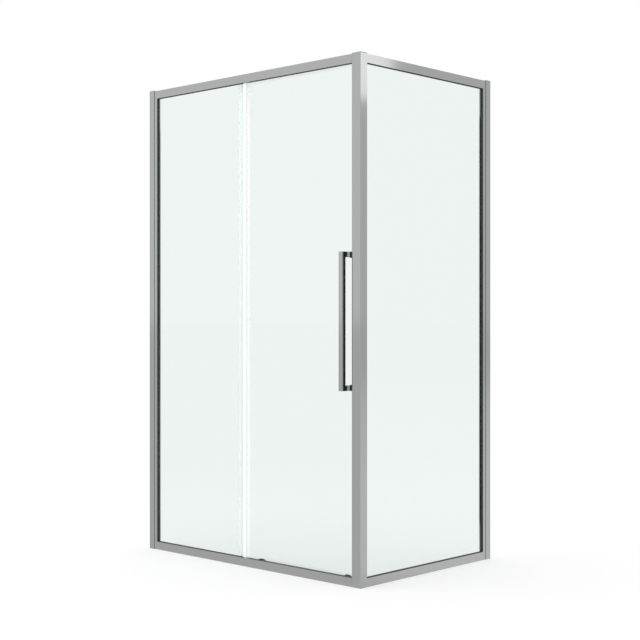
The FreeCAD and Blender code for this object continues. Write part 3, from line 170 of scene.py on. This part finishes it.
class Signal:
    """An output of a shader node. Arithmetic on it adds Math nodes to the same tree."""

    def __init__(self, shader, socket):
        self.shader = shader
        self.socket = socket

    def math(self, operation, *operands):
        return self.shader.node("Math", {"operation": operation}, dict(enumerate(operands)))

    def __add__(self, other):
        return self.math("ADD", self, other)

    def __sub__(self, other):
        return self.math("SUBTRACT", self, other)

    def __mul__(self, other):
        return self.math("MULTIPLY", self, other)

    def __pow__(self, other):
        return self.math("POWER", self, other)

    def __radd__(self, other):
        return self.math("ADD", other, self)

    def __rsub__(self, other):
        return self.math("SUBTRACT", other, self)

    def __rmul__(self, other):
        return self.math("MULTIPLY", other, self)

    def __gt__(self, other):
        return self.math("GREATER_THAN", self, other)

    def __abs__(self):
        return self.math("ABSOLUTE", self)

    def clipped(self):
        return self.shader.node("Clamp", inputs={0: self})


class Shader:
    """A node tree of a material or of the world, with the few patterns that the finishes are made of."""

    def __init__(self, owner):
        owner.use_nodes = True
        self.tree = owner.node_tree
        self.tree.nodes.clear()

    def node(self, kind, settings=None, inputs=None, output=0):
        """Adds a node: its settings first, then a value or a signal for each named or numbered input."""
        made = self.tree.nodes.new("ShaderNode" + kind)
        for name, value in (settings or {}).items():
            setattr(made, name, value)
        for name, value in (inputs or {}).items():
            if isinstance(value, Signal):
                self.tree.links.new(value.socket, made.inputs[name])
            else:
                made.inputs[name].default_value = value
        return Signal(self, made.outputs[output]) if made.outputs else made

    def place(self, stretch=(1, 1, 1)):
        """Object coordinates, each multiplied by its own factor."""
        here = self.node("TexCoord", output="Object")
        return self.node("VectorMath", {"operation": "MULTIPLY"}, {0: here, 1: stretch})

    def noise(self, scale, detail=2.0, stretch=(1, 1, 1)):
        """Smooth noise from 0 to 1, with about scale waves to the metre."""
        return self.node("TexNoise", inputs={"Vector": self.place(stretch), "Scale": scale, "Detail": detail})

    def blend(self, first, second, share):
        """The first colour where the share is 0, the second where it is 1."""
        colours = {0: share, 6: linear(first), 7: linear(second)}
        return self.node("Mix", {"data_type": "RGBA"}, colours, output=2)

    def relief(self, height, depth):
        """A normal that shows the height, from 0 to 1, as a relief of this depth."""
        return self.node("Bump", inputs={"Height": height, "Distance": depth, "Strength": 1.0})

    def surface(self, inputs):
        """The finish itself: each input of the surface is a constant, or a signal that varies over it."""
        return self.node("BsdfPrincipled", inputs=inputs)

    def switch(self, share, first, second):
        """The first finish where the share is 0, the second where it is 1."""
        return self.node("MixShader", inputs={0: share, 1: first, 2: second})

    def close(self, surface):
        self.node("OutputMaterial", inputs={"Surface": surface})


def finish(name, describe):
    """A material whose surface the given function describes."""
    material = bpy.data.materials.new(name)
    shader = Shader(material)
    shader.close(describe(shader))
    return material


# ---- finishes -------------------------------------------------------------------------------

def extruded_aluminium(lengthwise):
    """Bright dipped extrusion: fine die lines along the profile, and faint wipe marks that dull it."""
    fine = tuple(ALONG_DIE_LINES if axis == lengthwise else 1.0 for axis in range(3))
    coarse = tuple(ALONG_STREAKS if axis == lengthwise else 1.0 for axis in range(3))

    def describe(shader):
        lines = shader.noise(2600, 3.0, fine)
        streaks = shader.noise(160, 4.0, coarse)
        wipes = shader.noise(7, 5.0)
        tone = (0.5 * lines + 0.5 * streaks).clipped()
        return shader.surface({
            "Base Color": shader.blend([c - 4 for c in ALUMINIUM], [c + 4 for c in ALUMINIUM], tone),
            "Metallic": 1.0,
            "Roughness": 0.04 + 0.03 * streaks + 0.04 * wipes,
            "Normal": shader.relief(lines, 0.002 * MM),
        })

    return finish(f"aluminium_along_{'xyz'[lengthwise]}", describe)


def clear_glass(thickness_axis):
    """Toughened float glass: clear through its faces, sea green at its ground edges.

    Rays that the metal mirrors meet a dark face instead, as the photograph shows it. Rays inside the
    glass, and those that come through other glass, don't. Light on its way from a lamp passes straight.
    """

    def describe(shader):
        outward = shader.node("TexCoord", output="Normal")
        part = shader.node("SeparateXYZ", inputs={0: outward}, output=thickness_axis)
        is_edge = 1 - (abs(part) > FACE_NORMAL)
        wiped = shader.noise(3.5, 4.0)
        glass = shader.surface({
            "Base Color": shader.blend(GLASS_FACE, GLASS_EDGE, is_edge),
            "Roughness": 0.25 * is_edge + 0.012 * wiped,
            "IOR": 1.5,
            "Transmission Weight": 1.0,
        })
        shadow = shader.node("BsdfTransparent", inputs={"Color": linear(GLASS_FACE)})
        # Painted dark reflection: rays that the metal mirrors meet this dark grey face in place of the clear
        # glass.
        mirrored = shader.surface({
            "Base Color": shader.blend(GLASS_PAINTED_DARK_IN_METAL, GLASS_EDGE, is_edge),
            "Roughness": 0.05 + 0.02 * wiped,
        })
        from_lamp, from_metal, through = (shader.node("LightPath", output=f"Is {ray} Ray")
                                          for ray in ("Shadow", "Glossy", "Transmission"))
        within = shader.node("NewGeometry", output="Backfacing")
        clear = shader.switch(from_lamp, glass, shadow)
        reflected = shader.switch(within, mirrored, clear)
        return shader.switch(from_metal, clear, shader.switch(through, reflected, clear))

    return finish(f"clear_glass_{'xyz'[thickness_axis]}", describe)


def black_rubber(shader):
    """Extruded rubber: a fine grain, and a grey bloom in soft patches."""
    grain = shader.noise(1800, 3.0)
    bloom = shader.noise(22, 5.0)
    return shader.surface({
        "Base Color": shader.blend(RUBBER, RUBBER_BLOOM, bloom ** 2),
        "Roughness": 0.5 + 0.15 * bloom,
        "Normal": shader.relief(grain, 0.02 * MM),
    })


def clear_pvc(shader):
    """Milky clear soft plastic, with slow waves from extrusion, a dull skin here and there, and a painted
    glow of its own that makes it paler.
    """
    waves = shader.noise(90, 2.0, (1, 1, 0.08))
    dull = shader.noise(12, 4.0)
    return shader.surface({
        "Base Color": shader.blend(SEAL, SEAL_DULL, dull),
        "Roughness": 0.22 + 0.15 * dull,
        "Alpha": 0.85 - 0.1 * dull,
        # painted light: the seal glows with light of its own, so that it reads paler than its lighting makes
        # it
        "Emission Color": linear(WHITE),
        "Emission Strength": SEAL_GLOW,
        "Normal": shader.relief(waves, 0.03 * MM),
    })


def moulded(colour, spread, gloss_from):
    """Moulded plastic: a spark-eroded grain, and flow marks that change its tone a little."""

    def describe(shader):
        grain = shader.noise(3200, 2.0)
        flow = shader.noise(60, 3.0)
        return shader.surface({
            "Base Color": shader.blend([c - spread for c in colour], [c + spread for c in colour], flow),
            "Roughness": gloss_from + 0.12 * grain,
            "Normal": shader.relief(grain, 0.015 * MM),
        })

    return describe


def nylon(shader):
    """White nylon: slightly see-through, with faint swirls."""
    swirls = shader.noise(300, 4.0)
    return shader.surface({
        "Base Color": shader.blend([c - 6 for c in NYLON], NYLON, swirls),
        "Roughness": 0.34 + 0.1 * swirls,
        "Subsurface Weight": 0.15,
        "Subsurface Scale": 1.5 * MM,
        "Normal": shader.relief(swirls, 0.01 * MM),
    })


def stainless_steel(shader):
    """Bright steel: short brush marks and a slightly uneven gloss."""
    marks = shader.noise(2400, 3.0, (0.08, 1, 1))
    patches = shader.noise(150, 3.0)
    return shader.surface({
        "Base Color": shader.blend([c - 8 for c in STEEL], STEEL, marks),
        "Metallic": 1.0,
        "Roughness": 0.2 + 0.12 * marks + 0.06 * patches,
        "Normal": shader.relief(marks, 0.003 * MM),
    })


def chrome(shader):
    """Bright plating: a clear mirror with soft finger marks."""
    touched = shader.noise(45, 5.0)
    film = shader.noise(9, 3.0)
    return shader.surface({
        "Base Color": shader.blend(CHROME, [c - 5 for c in CHROME], film),
        "Metallic": 1.0,
        "Roughness": 0.05 + 0.07 * touched ** 2,
        "Normal": shader.relief(film, 0.02 * MM),
    })


def bonded_magnet(shader):
    """Magnetic strip: dark plastic full of ferrite grains."""
    grains = shader.noise(4200, 4.0)
    return shader.surface({
        "Base Color": shader.blend([c - 14 for c in FERRITE], FERRITE, grains),
        "Roughness": 0.45 + 0.25 * grains,
        "Normal": shader.relief(grains, 0.02 * MM),
    })


PLAIN_FINISHES = {
    "black_rubber": black_rubber,
    "clear_pvc": clear_pvc,
    "grey_plastic": moulded(GREY_MOULDING, 4, 0.38),
    "dark_plastic": moulded(DARK_MOULDING, 5, 0.42),
    "infill_plastic": moulded(INFILL, 5, 0.42),
    "white_nylon": nylon,
    "stainless_steel": stainless_steel,
    "chrome": chrome,
    "magnet": bonded_magnet,
}
SLOT_OF = {part["node"]: part["material_slot"] for part in frame["record"]["subparts"]}
finishes = {slot: finish(slot, describe) for slot, describe in PLAIN_FINISHES.items()}


def node_sizes(node):
    """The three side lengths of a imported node's box."""
    low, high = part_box(node)
    return list(high - low)


def dress_nodes():
    """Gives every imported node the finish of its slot, turned to suit a profile's or a pane's direction."""
    for axis in range(3):
        finishes["polished_aluminium", axis] = extruded_aluminium(axis)
        finishes["clear_glass", axis] = clear_glass(axis)
    for name, item in frame["nodes"].items():
        slot = "infill_plastic" if "infill" in name else SLOT_OF[name]
        sides = node_sizes(name)
        if slot == "polished_aluminium":
            slot = (slot, sides.index(max(sides)))
        elif slot == "clear_glass":
            slot = (slot, sides.index(min(sides)))
        item.data.materials.clear()
        item.data.materials.append(finishes[slot])


# ---- surfaces -------------------------------------------------------------------------------

def solids(node):
    """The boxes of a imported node's separate solids, as (lowest corner, highest corner).

    Corners at one place count as one. Each takes the lowest label among the triangles that meet in it,
    again and again, until every solid has one label.
    """
    mesh = frame["nodes"][node].data
    points = np.empty(len(mesh.vertices) * 3)
    mesh.vertices.foreach_get("co", points)
    corners = np.empty(len(mesh.loops), int)
    mesh.loops.foreach_get("vertex_index", corners)
    points = points.reshape(-1, 3)
    places, same = np.unique(points.round(6), axis=0, return_inverse=True)
    triangles = same.reshape(-1)[corners].reshape(-1, 3)
    label = np.arange(len(places))
    settled = False
    while not settled:
        lowest = label.copy()
        np.minimum.at(lowest, triangles.ravel(), label[triangles].min(axis=1).repeat(3))
        settled = bool((lowest == label).all())
        label = lowest
    groups = [places[label == one] for one in np.unique(label)]
    boxes = [(group.min(axis=0), group.max(axis=0)) for group in groups]
    return [(low, high) for low, high in boxes if (high - low).max() > LEAST_SOLID]


def across(axis):
    """Two unit vectors square to an axis, the three right-handed in this order: first, second, axis."""
    axis = np.array(axis, float)
    first = np.cross(axis, (0, 0, 1)) if abs(axis[2]) < 0.5 else np.array((1.0, 0.0, 0.0))
    first /= np.linalg.norm(first)
    return first, np.cross(axis, first)


def turned(foot, axis, heights, radii, sides=48):
    """Rings round an axis: at height h and angle a, foot + h * axis + r * (cos a * first + sin a * second).

    The radius r is one for each ring, or one for each ring and side.
    """
    angles = np.linspace(0, 2 * math.pi, sides, endpoint=False)
    first, second = across(axis)
    spokes = np.cos(angles)[:, None] * first + np.sin(angles)[:, None] * second
    heights = np.array(heights, float)[:, None, None]
    radii = np.array(radii, float).reshape(len(heights), -1)[:, :, None]
    return np.array(foot, float) + heights * np.array(axis, float) + radii * spokes


def ring_faces(rings, sides, is_hollow):
    """Faces between neighbouring rings; a hollow form joins its last ring to its first, others are capped."""
    count = rings if is_hollow else rings - 1
    ring, side = np.meshgrid(np.arange(count), np.arange(sides), indexing="ij")
    beside = (side + 1) % sides
    above = (ring + 1) % rings
    corners = [ring * sides + side, ring * sides + beside, above * sides + beside, above * sides + side]
    faces = np.stack(corners, axis=-1).reshape(-1, 4).tolist()
    if not is_hollow:
        faces.append(list(range(sides))[::-1])
        faces.append(list(range((rings - 1) * sides, rings * sides)))
    return faces


def piece(name, grids, body, node, is_hollow=False, edge_break=0.0):
    """One smooth mesh over grids of rings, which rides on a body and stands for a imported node."""
    points = np.concatenate([grid.reshape(-1, 3) for grid in grids])
    rings, sides = grids[0].shape[:2]
    pattern = ring_faces(rings, sides, is_hollow)
    faces = [[corner + start for corner in face]
             for start in range(0, len(points), rings * sides) for face in pattern]
    mesh = bpy.data.meshes.new(name)
    mesh.from_pydata(points.tolist(), [], faces)
    mesh.shade_smooth()
    mesh.set_sharp_from_angle(angle=math.radians(SHARP_FROM))
    made = bpy.data.objects.new(name, mesh)
    bpy.context.scene.collection.objects.link(made)
    if edge_break:
        rounding = made.modifiers.new("edge_break", "BEVEL")
        rounding.width = edge_break
        rounding.segments = 2
        rounding.limit_method = "ANGLE"
        rounding.angle_limit = math.radians(BREAK_FROM)
    mesh.materials.append(finishes[SLOT_OF[node]])
    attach(made, body)
    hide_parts(node)
    return made


def middle_of_face(box, axis):
    """The middle of the box's face that looks against an axis of length 1 along one of its sides:
    (low + high) / 2 - axis * (high - low) / 2."""
    low, high = box
    return (low + high) / 2 - axis * (high - low) / 2


# ---- pieces made again ----------------------------------------------------------------------

INWARDS = np.array((0.0, 1.0, 0.0))


def hexagon(angles, flats):
    """Radius of a hexagon at an angle: half its flats / cos of the angle from the nearest flat's middle."""
    return flats / 2 / np.cos((angles + math.pi / 6) % (math.pi / 3) - math.pi / 6)


def socket_bolt(box, sides=48):
    """A button-headed bolt with a hexagon socket and a rolled thread, its head on the room's side.

    On the shank the radius is r - depth * |2 * frac(height / pitch - angle / turn) - 1|. On the head it
    is R * cos(a) ** power at the height H * sin(a). Inside the socket it is a hexagon's.
    """
    low, high = box
    length = high[1] - low[1]
    head_radius = (high[0] - low[0]) / 2
    seat = length - BOLT_HEAD_HEIGHT
    angles = np.linspace(0, 2 * math.pi, sides, endpoint=False)
    rings = int(RINGS_PER_PITCH * seat / THREAD_PITCH)
    shank = np.linspace(THREAD_PITCH / 2, seat - THREAD_PITCH, rings)
    ridge = np.abs(2 * ((shank[:, None] / THREAD_PITCH - angles / (2 * math.pi)) % 1) - 1)
    dome = np.linspace(0, math.pi / 2, 9)[:-2]
    socket = hexagon(angles, BOLT_SOCKET)
    head = seat + BOLT_HEAD_HEIGHT * np.sin(dome)
    heights = [0, *shank, seat, seat, *head, length, length - BOLT_SOCKET_DEPTH]
    plain = np.ones(sides)
    radii = np.vstack([
        BOLT_TIP * BOLT_RADIUS * plain,
        BOLT_RADIUS - THREAD_DEPTH * ridge,
        BOLT_RADIUS * plain,
        head_radius * plain,
        head_radius * np.cos(dome)[:, None] ** BOLT_DOME_POWER * plain,
        socket,
        BOLT_SOCKET_TAPER * socket,
    ])
    return turned(middle_of_face(box, INWARDS), INWARDS, heights, radii, sides)


def inside_cap(box):
    """A dished round cap: a flat rim, a soft shoulder and a hollow round its bolt's head."""
    low, high = box
    rim = (high[0] - low[0]) / 2
    depth = high[1] - low[1]
    shoulder = np.linspace(0, math.pi / 2, 7)
    round_off = CAP_SHOULDER * rim
    rise = depth - round_off + round_off * np.sin(shoulder)
    turn_in = rim - round_off + round_off * np.cos(shoulder)
    heights = [0, 0, *rise, depth, CAP_FLOOR, CAP_FLOOR]
    radii = [CAP_BORE, rim, *turn_in, CAP_DISH_RIM * rim, CAP_DISH_FLOOR * rim, CAP_BORE]
    return turned(middle_of_face(box, INWARDS), INWARDS, heights, radii, sides=72)


def channel_cap(box):
    """A snap-on cap over a screw head, hollow underneath. Its crown is a quarter ellipse, turned round.

    It looks into the room: along +Y on the front's channel, and along -X on the side's.
    """
    low, high = box
    thin = int(np.argmin(high - low))
    axis = np.zeros(3)
    axis[thin] = 1.0 if thin == 1 else -1.0
    crown = (high - low)[thin]
    rim = (high - low).max() / 2
    dome = np.linspace(0, math.pi / 2, 10)
    skirt = CHANNEL_CAP_SKIRT * crown
    heights = [CHANNEL_CAP_CEILING, 0, 0, *(skirt + (crown - skirt) * np.sin(dome))]
    radii = [CHANNEL_CAP_HOLLOW, CHANNEL_CAP_HOLLOW, rim, *(rim * np.cos(dome) + CHANNEL_CAP_TIP)]
    return turned(middle_of_face(box, axis), axis, heights, radii, sides=56)


def wheel_pin(box):
    """A headed pin, its head in the wheel's recess on the outer side."""
    low, high = box
    head = (high[0] - low[0]) / 2
    length = high[1] - low[1]
    heights = [0, PIN_HEAD_BEVEL * PIN_HEAD_HEIGHT, PIN_HEAD_HEIGHT, PIN_HEAD_HEIGHT, length]
    radii = [PIN_HEAD_FACE * head, head, head, PIN_RADIUS, PIN_RADIUS]
    return turned(middle_of_face(box, INWARDS), INWARDS, heights, radii, sides=40)


def grooved_wheel(box):
    """A nylon wheel with a bore, a pin recess and a rounded groove for the rail's bead. At the share t of
    the groove's half width, from -1 to 1, the groove is depth * (1 - t ** 4) deep."""
    low, high = box
    radius = (high[0] - low[0]) / 2
    width = high[1] - low[1]
    middle = width / 2
    arc = np.linspace(-1, 1, 13)
    groove = middle + WHEEL_GROOVE_HALF * arc
    depth = WHEEL_GROOVE_DEPTH * (1 - arc ** 4)
    heights = [WHEEL_RECESS_DEPTH, WHEEL_RECESS_DEPTH, 0, 0, *groove, width, width]
    radii = [WHEEL_BORE, WHEEL_RECESS, WHEEL_RECESS, radius, *(radius - depth), radius, WHEEL_BORE]
    return turned(middle_of_face(box, INWARDS), INWARDS, heights, radii, sides=72)


def spring_coil(box, steps_per_turn=40, sides=14):
    """A compression spring along z, flatter at its ends: a circle of the wire's radius carried round the
    helix (R cos a, R sin a, z), where z rises by share - closing * sin(turn * share) / turn."""
    low, high = box
    wire = SPRING_WIRE / 2
    coil = (high[0] - low[0]) / 2 - wire
    middle = (low + high) / 2
    share = np.linspace(0, 1, SPRING_TURNS * steps_per_turn + 1)
    turn = 2 * math.pi
    angle = turn * SPRING_TURNS * share
    rise = (high[2] - low[2] - 2 * wire) * (share - SPRING_CLOSING * np.sin(turn * share) / turn)
    spoke = np.stack([np.cos(angle), np.sin(angle), np.zeros_like(angle)], axis=1)
    line = coil * spoke + rise[:, None] * np.array((0, 0, 1))
    forward = np.gradient(line, axis=0)
    forward /= np.linalg.norm(forward, axis=1, keepdims=True)
    upward = np.cross(spoke, forward)
    round_wire = np.linspace(0, turn, sides, endpoint=False)[:, None]
    circle = np.cos(round_wire) * -spoke[:, None] + np.sin(round_wire) * upward[:, None]
    return np.array((middle[0], middle[1], low[2] + wire)) + line[:, None] + wire * circle


def remake_fixings():
    """Bolts, caps and pins of the sliding door and the carriages, and the caps on the wall channels."""
    for node in ("roller_bolts", "handle_bolts"):
        piece(f"threaded_{node}", [socket_bolt(box) for box in solids(node)], "door", node)
    for node in ("roller_caps", "handle_inner_caps"):
        piece(f"dished_{node}", [inside_cap(box) for box in solids(node)], "door", node, is_hollow=True)
    caps = [channel_cap(box) for box in solids("channel_screw_caps")]
    piece("domed_channel_caps", caps, "frame", "channel_screw_caps")
    bodies = {"top_wheel_pins": "door", "bottom_wheel_pins_left": "carriage_left",
              "bottom_wheel_pins_right": "carriage_right"}
    for node, body in bodies.items():
        pins = [wheel_pin(box) for box in solids(node)]
        piece(f"headed_{node}", pins, body, node, edge_break=EDGE_BREAK)


def remake_wheels():
    """The eight grooved wheels, each on its own body."""
    for name in frame["nodes"]:
        if "wheel" in name and "pins" not in name:
            grid = grooved_wheel(solids(name)[0])
            piece(f"grooved_{name}", [grid], name, name, is_hollow=True, edge_break=EDGE_BREAK)


def remake_springs():
    """The wire springs under the door's release tabs."""
    for side in ("left", "right"):
        node = f"release_spring_{side}"
        box = solids(node)[0]
        foot, head = box[0][2], box[1][2]
        coil = piece(f"coil_{node}", [spring_coil(box)], "door", node)
        kept = 1 - RELEASE_TRAVEL / (head - foot)
        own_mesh(coil)


# ---- studio ---------------------------------------------------------------------------------

def seen_directly(shader):
    """Two signals: one is 1 for rays from the camera or through glass, which show the background white,
    the other is 1 for rays that the metal mirrors."""
    camera, through, mirrored = (shader.node("LightPath", output=f"Is {ray} Ray")
                                 for ray in ("Camera", "Transmission", "Glossy"))
    return (camera + through).clipped(), mirrored


def share_along(shader, place, direction):
    """How far a place lies along a direction."""
    return shader.node("VectorMath", {"operation": "DOT_PRODUCT"}, {0: place, 1: direction}, output="Value")


def pale_room():
    """The world: plain white where it is seen, and the same from all sides as light on matt surfaces. In
    the metal its left is brighter than its right, and the side behind the camera is darkest."""
    world = bpy.data.worlds.new("pale_room")
    bpy.context.scene.world = world
    shader = Shader(world)
    seen, in_metal = seen_directly(shader)
    heading = shader.node("TexCoord", output="Generated")
    right = (0.5 + RIGHT_RAMP * share_along(shader, heading, RIGHTWARDS)).clipped()
    behind = (BEHIND_RAMP * share_along(shader, heading, CAMERAWARDS) - BEHIND_START).clipped()
    wall = 1 - (1 - RIGHT_WALL) * right
    metal = wall + behind * (CAMERA_WALL - wall)
    strength = ROOM_LIGHT + in_metal * (metal - ROOM_LIGHT)
    strength = strength + seen * (1 - strength)
    light = shader.node("Background", inputs={"Color": linear(WHITE), "Strength": strength})
    shader.node("OutputWorld", inputs={"Surface": light})


def grey(strength):
    """A grey of a strength from 0 to 1."""
    return (strength, strength, strength, 1.0)


def pale_floor():
    """A wide plane: matt white near the object so that it takes the shadow, plain white further away."""
    corners = [(-FLOOR_HALF, -FLOOR_HALF, 0), (FLOOR_HALF, -FLOOR_HALF, 0),
               (FLOOR_HALF, FLOOR_HALF, 0), (-FLOOR_HALF, FLOOR_HALF, 0)]
    mesh = bpy.data.meshes.new("floor")
    mesh.from_pydata(corners, [], [(0, 1, 2, 3)])
    floor = bpy.data.objects.new("floor", mesh)
    bpy.context.scene.collection.objects.link(floor)
    mesh.materials.append(finish("pale_floor", floor_surface))


def floor_surface(shader):
    """Seen: shading that fades to plain white away from the middle of the enclosure. In the metal: a glow
    of its own for the left, the right and the far right. As light: matt."""
    seen, in_metal = seen_directly(shader)
    here = shader.node("TexCoord", output="Object")
    distance = shader.node("VectorMath", {"operation": "LENGTH"}, {0: here}, output="Value")
    fade = (distance * (1 / FADE_LENGTH) - FADE_START).clipped()
    right = share_along(shader, here, RIGHTWARDS)
    mirrored = LEFT_FLOOR + (1 - LEFT_FLOOR) * (LEFT_FLOOR_RAMP * right).clipped()
    mirrored = mirrored - (1 - FAR_FLOOR) * (right * FAR_FLOOR_RAMP - FAR_FLOOR_START).clipped()
    matt = shader.node("BsdfDiffuse", inputs={"Color": grey(FLOOR_COLOUR)})
    shaded = shader.node("BsdfDiffuse", inputs={"Color": grey(FLOOR_SHADING)})
    lift, white, black = (shader.node("Emission", inputs={"Color": linear(WHITE), "Strength": strength})
                          for strength in (FLOOR_LIFT, 1.0, 0.0))
    lifted = shader.node("AddShader", inputs={0: shaded, 1: lift})
    direct = shader.switch(fade, lifted, white)
    indirect = shader.switch(in_metal, matt, shader.switch(mirrored, black, white))
    return shader.switch(seen, indirect, direct)


def softbox(name, place, aim, side, power):
    """A square lamp that faces a point."""
    lamp = bpy.data.lights.new(name, "AREA")
    lamp.shape = "RECTANGLE"
    lamp.size = side
    lamp.size_y = side
    lamp.energy = power
    holder = bpy.data.objects.new(name, lamp)
    bpy.context.scene.collection.objects.link(holder)
    holder.location = place
    towards = Vector(aim) - Vector(place)
    holder.rotation_euler = towards.to_track_quat("-Z", "Y").to_euler()
    return holder


def studio_lamps():
    """A large soft key from above the front, and a smaller box on the right that lights the metal alone."""
    softbox("key_softbox", KEY_PLACE, KEY_AIM, KEY_SIDE, KEY_POWER)
    corner = softbox("corner_softbox", CORNER_PLACE, CORNER_AIM, CORNER_SIDE, CORNER_POWER)
    metal = bpy.data.collections.new("mirrors_the_corner_softbox")
    for name, item in frame["nodes"].items():
        if SLOT_OF[name] == "polished_aluminium":
            metal.objects.link(item)
    corner.light_linking.receiver_collection = metal


def view():
    """The camera at the photograph's place."""
    camera = bpy.data.cameras.new("camera")
    camera.lens = LENS
    camera.sensor_width = 36
    camera.clip_end = CAMERA_REACH
    holder = bpy.data.objects.new("camera", camera)
    bpy.context.scene.collection.objects.link(holder)
    holder.location = CAMERA_PLACE
    holder.rotation_euler = (math.radians(90 + CAMERA_TILT), 0, math.radians(CAMERA_HEADING))
    bpy.context.scene.camera = holder
    bpy.context.scene.view_settings.view_transform = "Standard"


dress_nodes()
remake_fixings()
remake_wheels()
remake_springs()
pale_room()
pale_floor()
studio_lamps()
view()
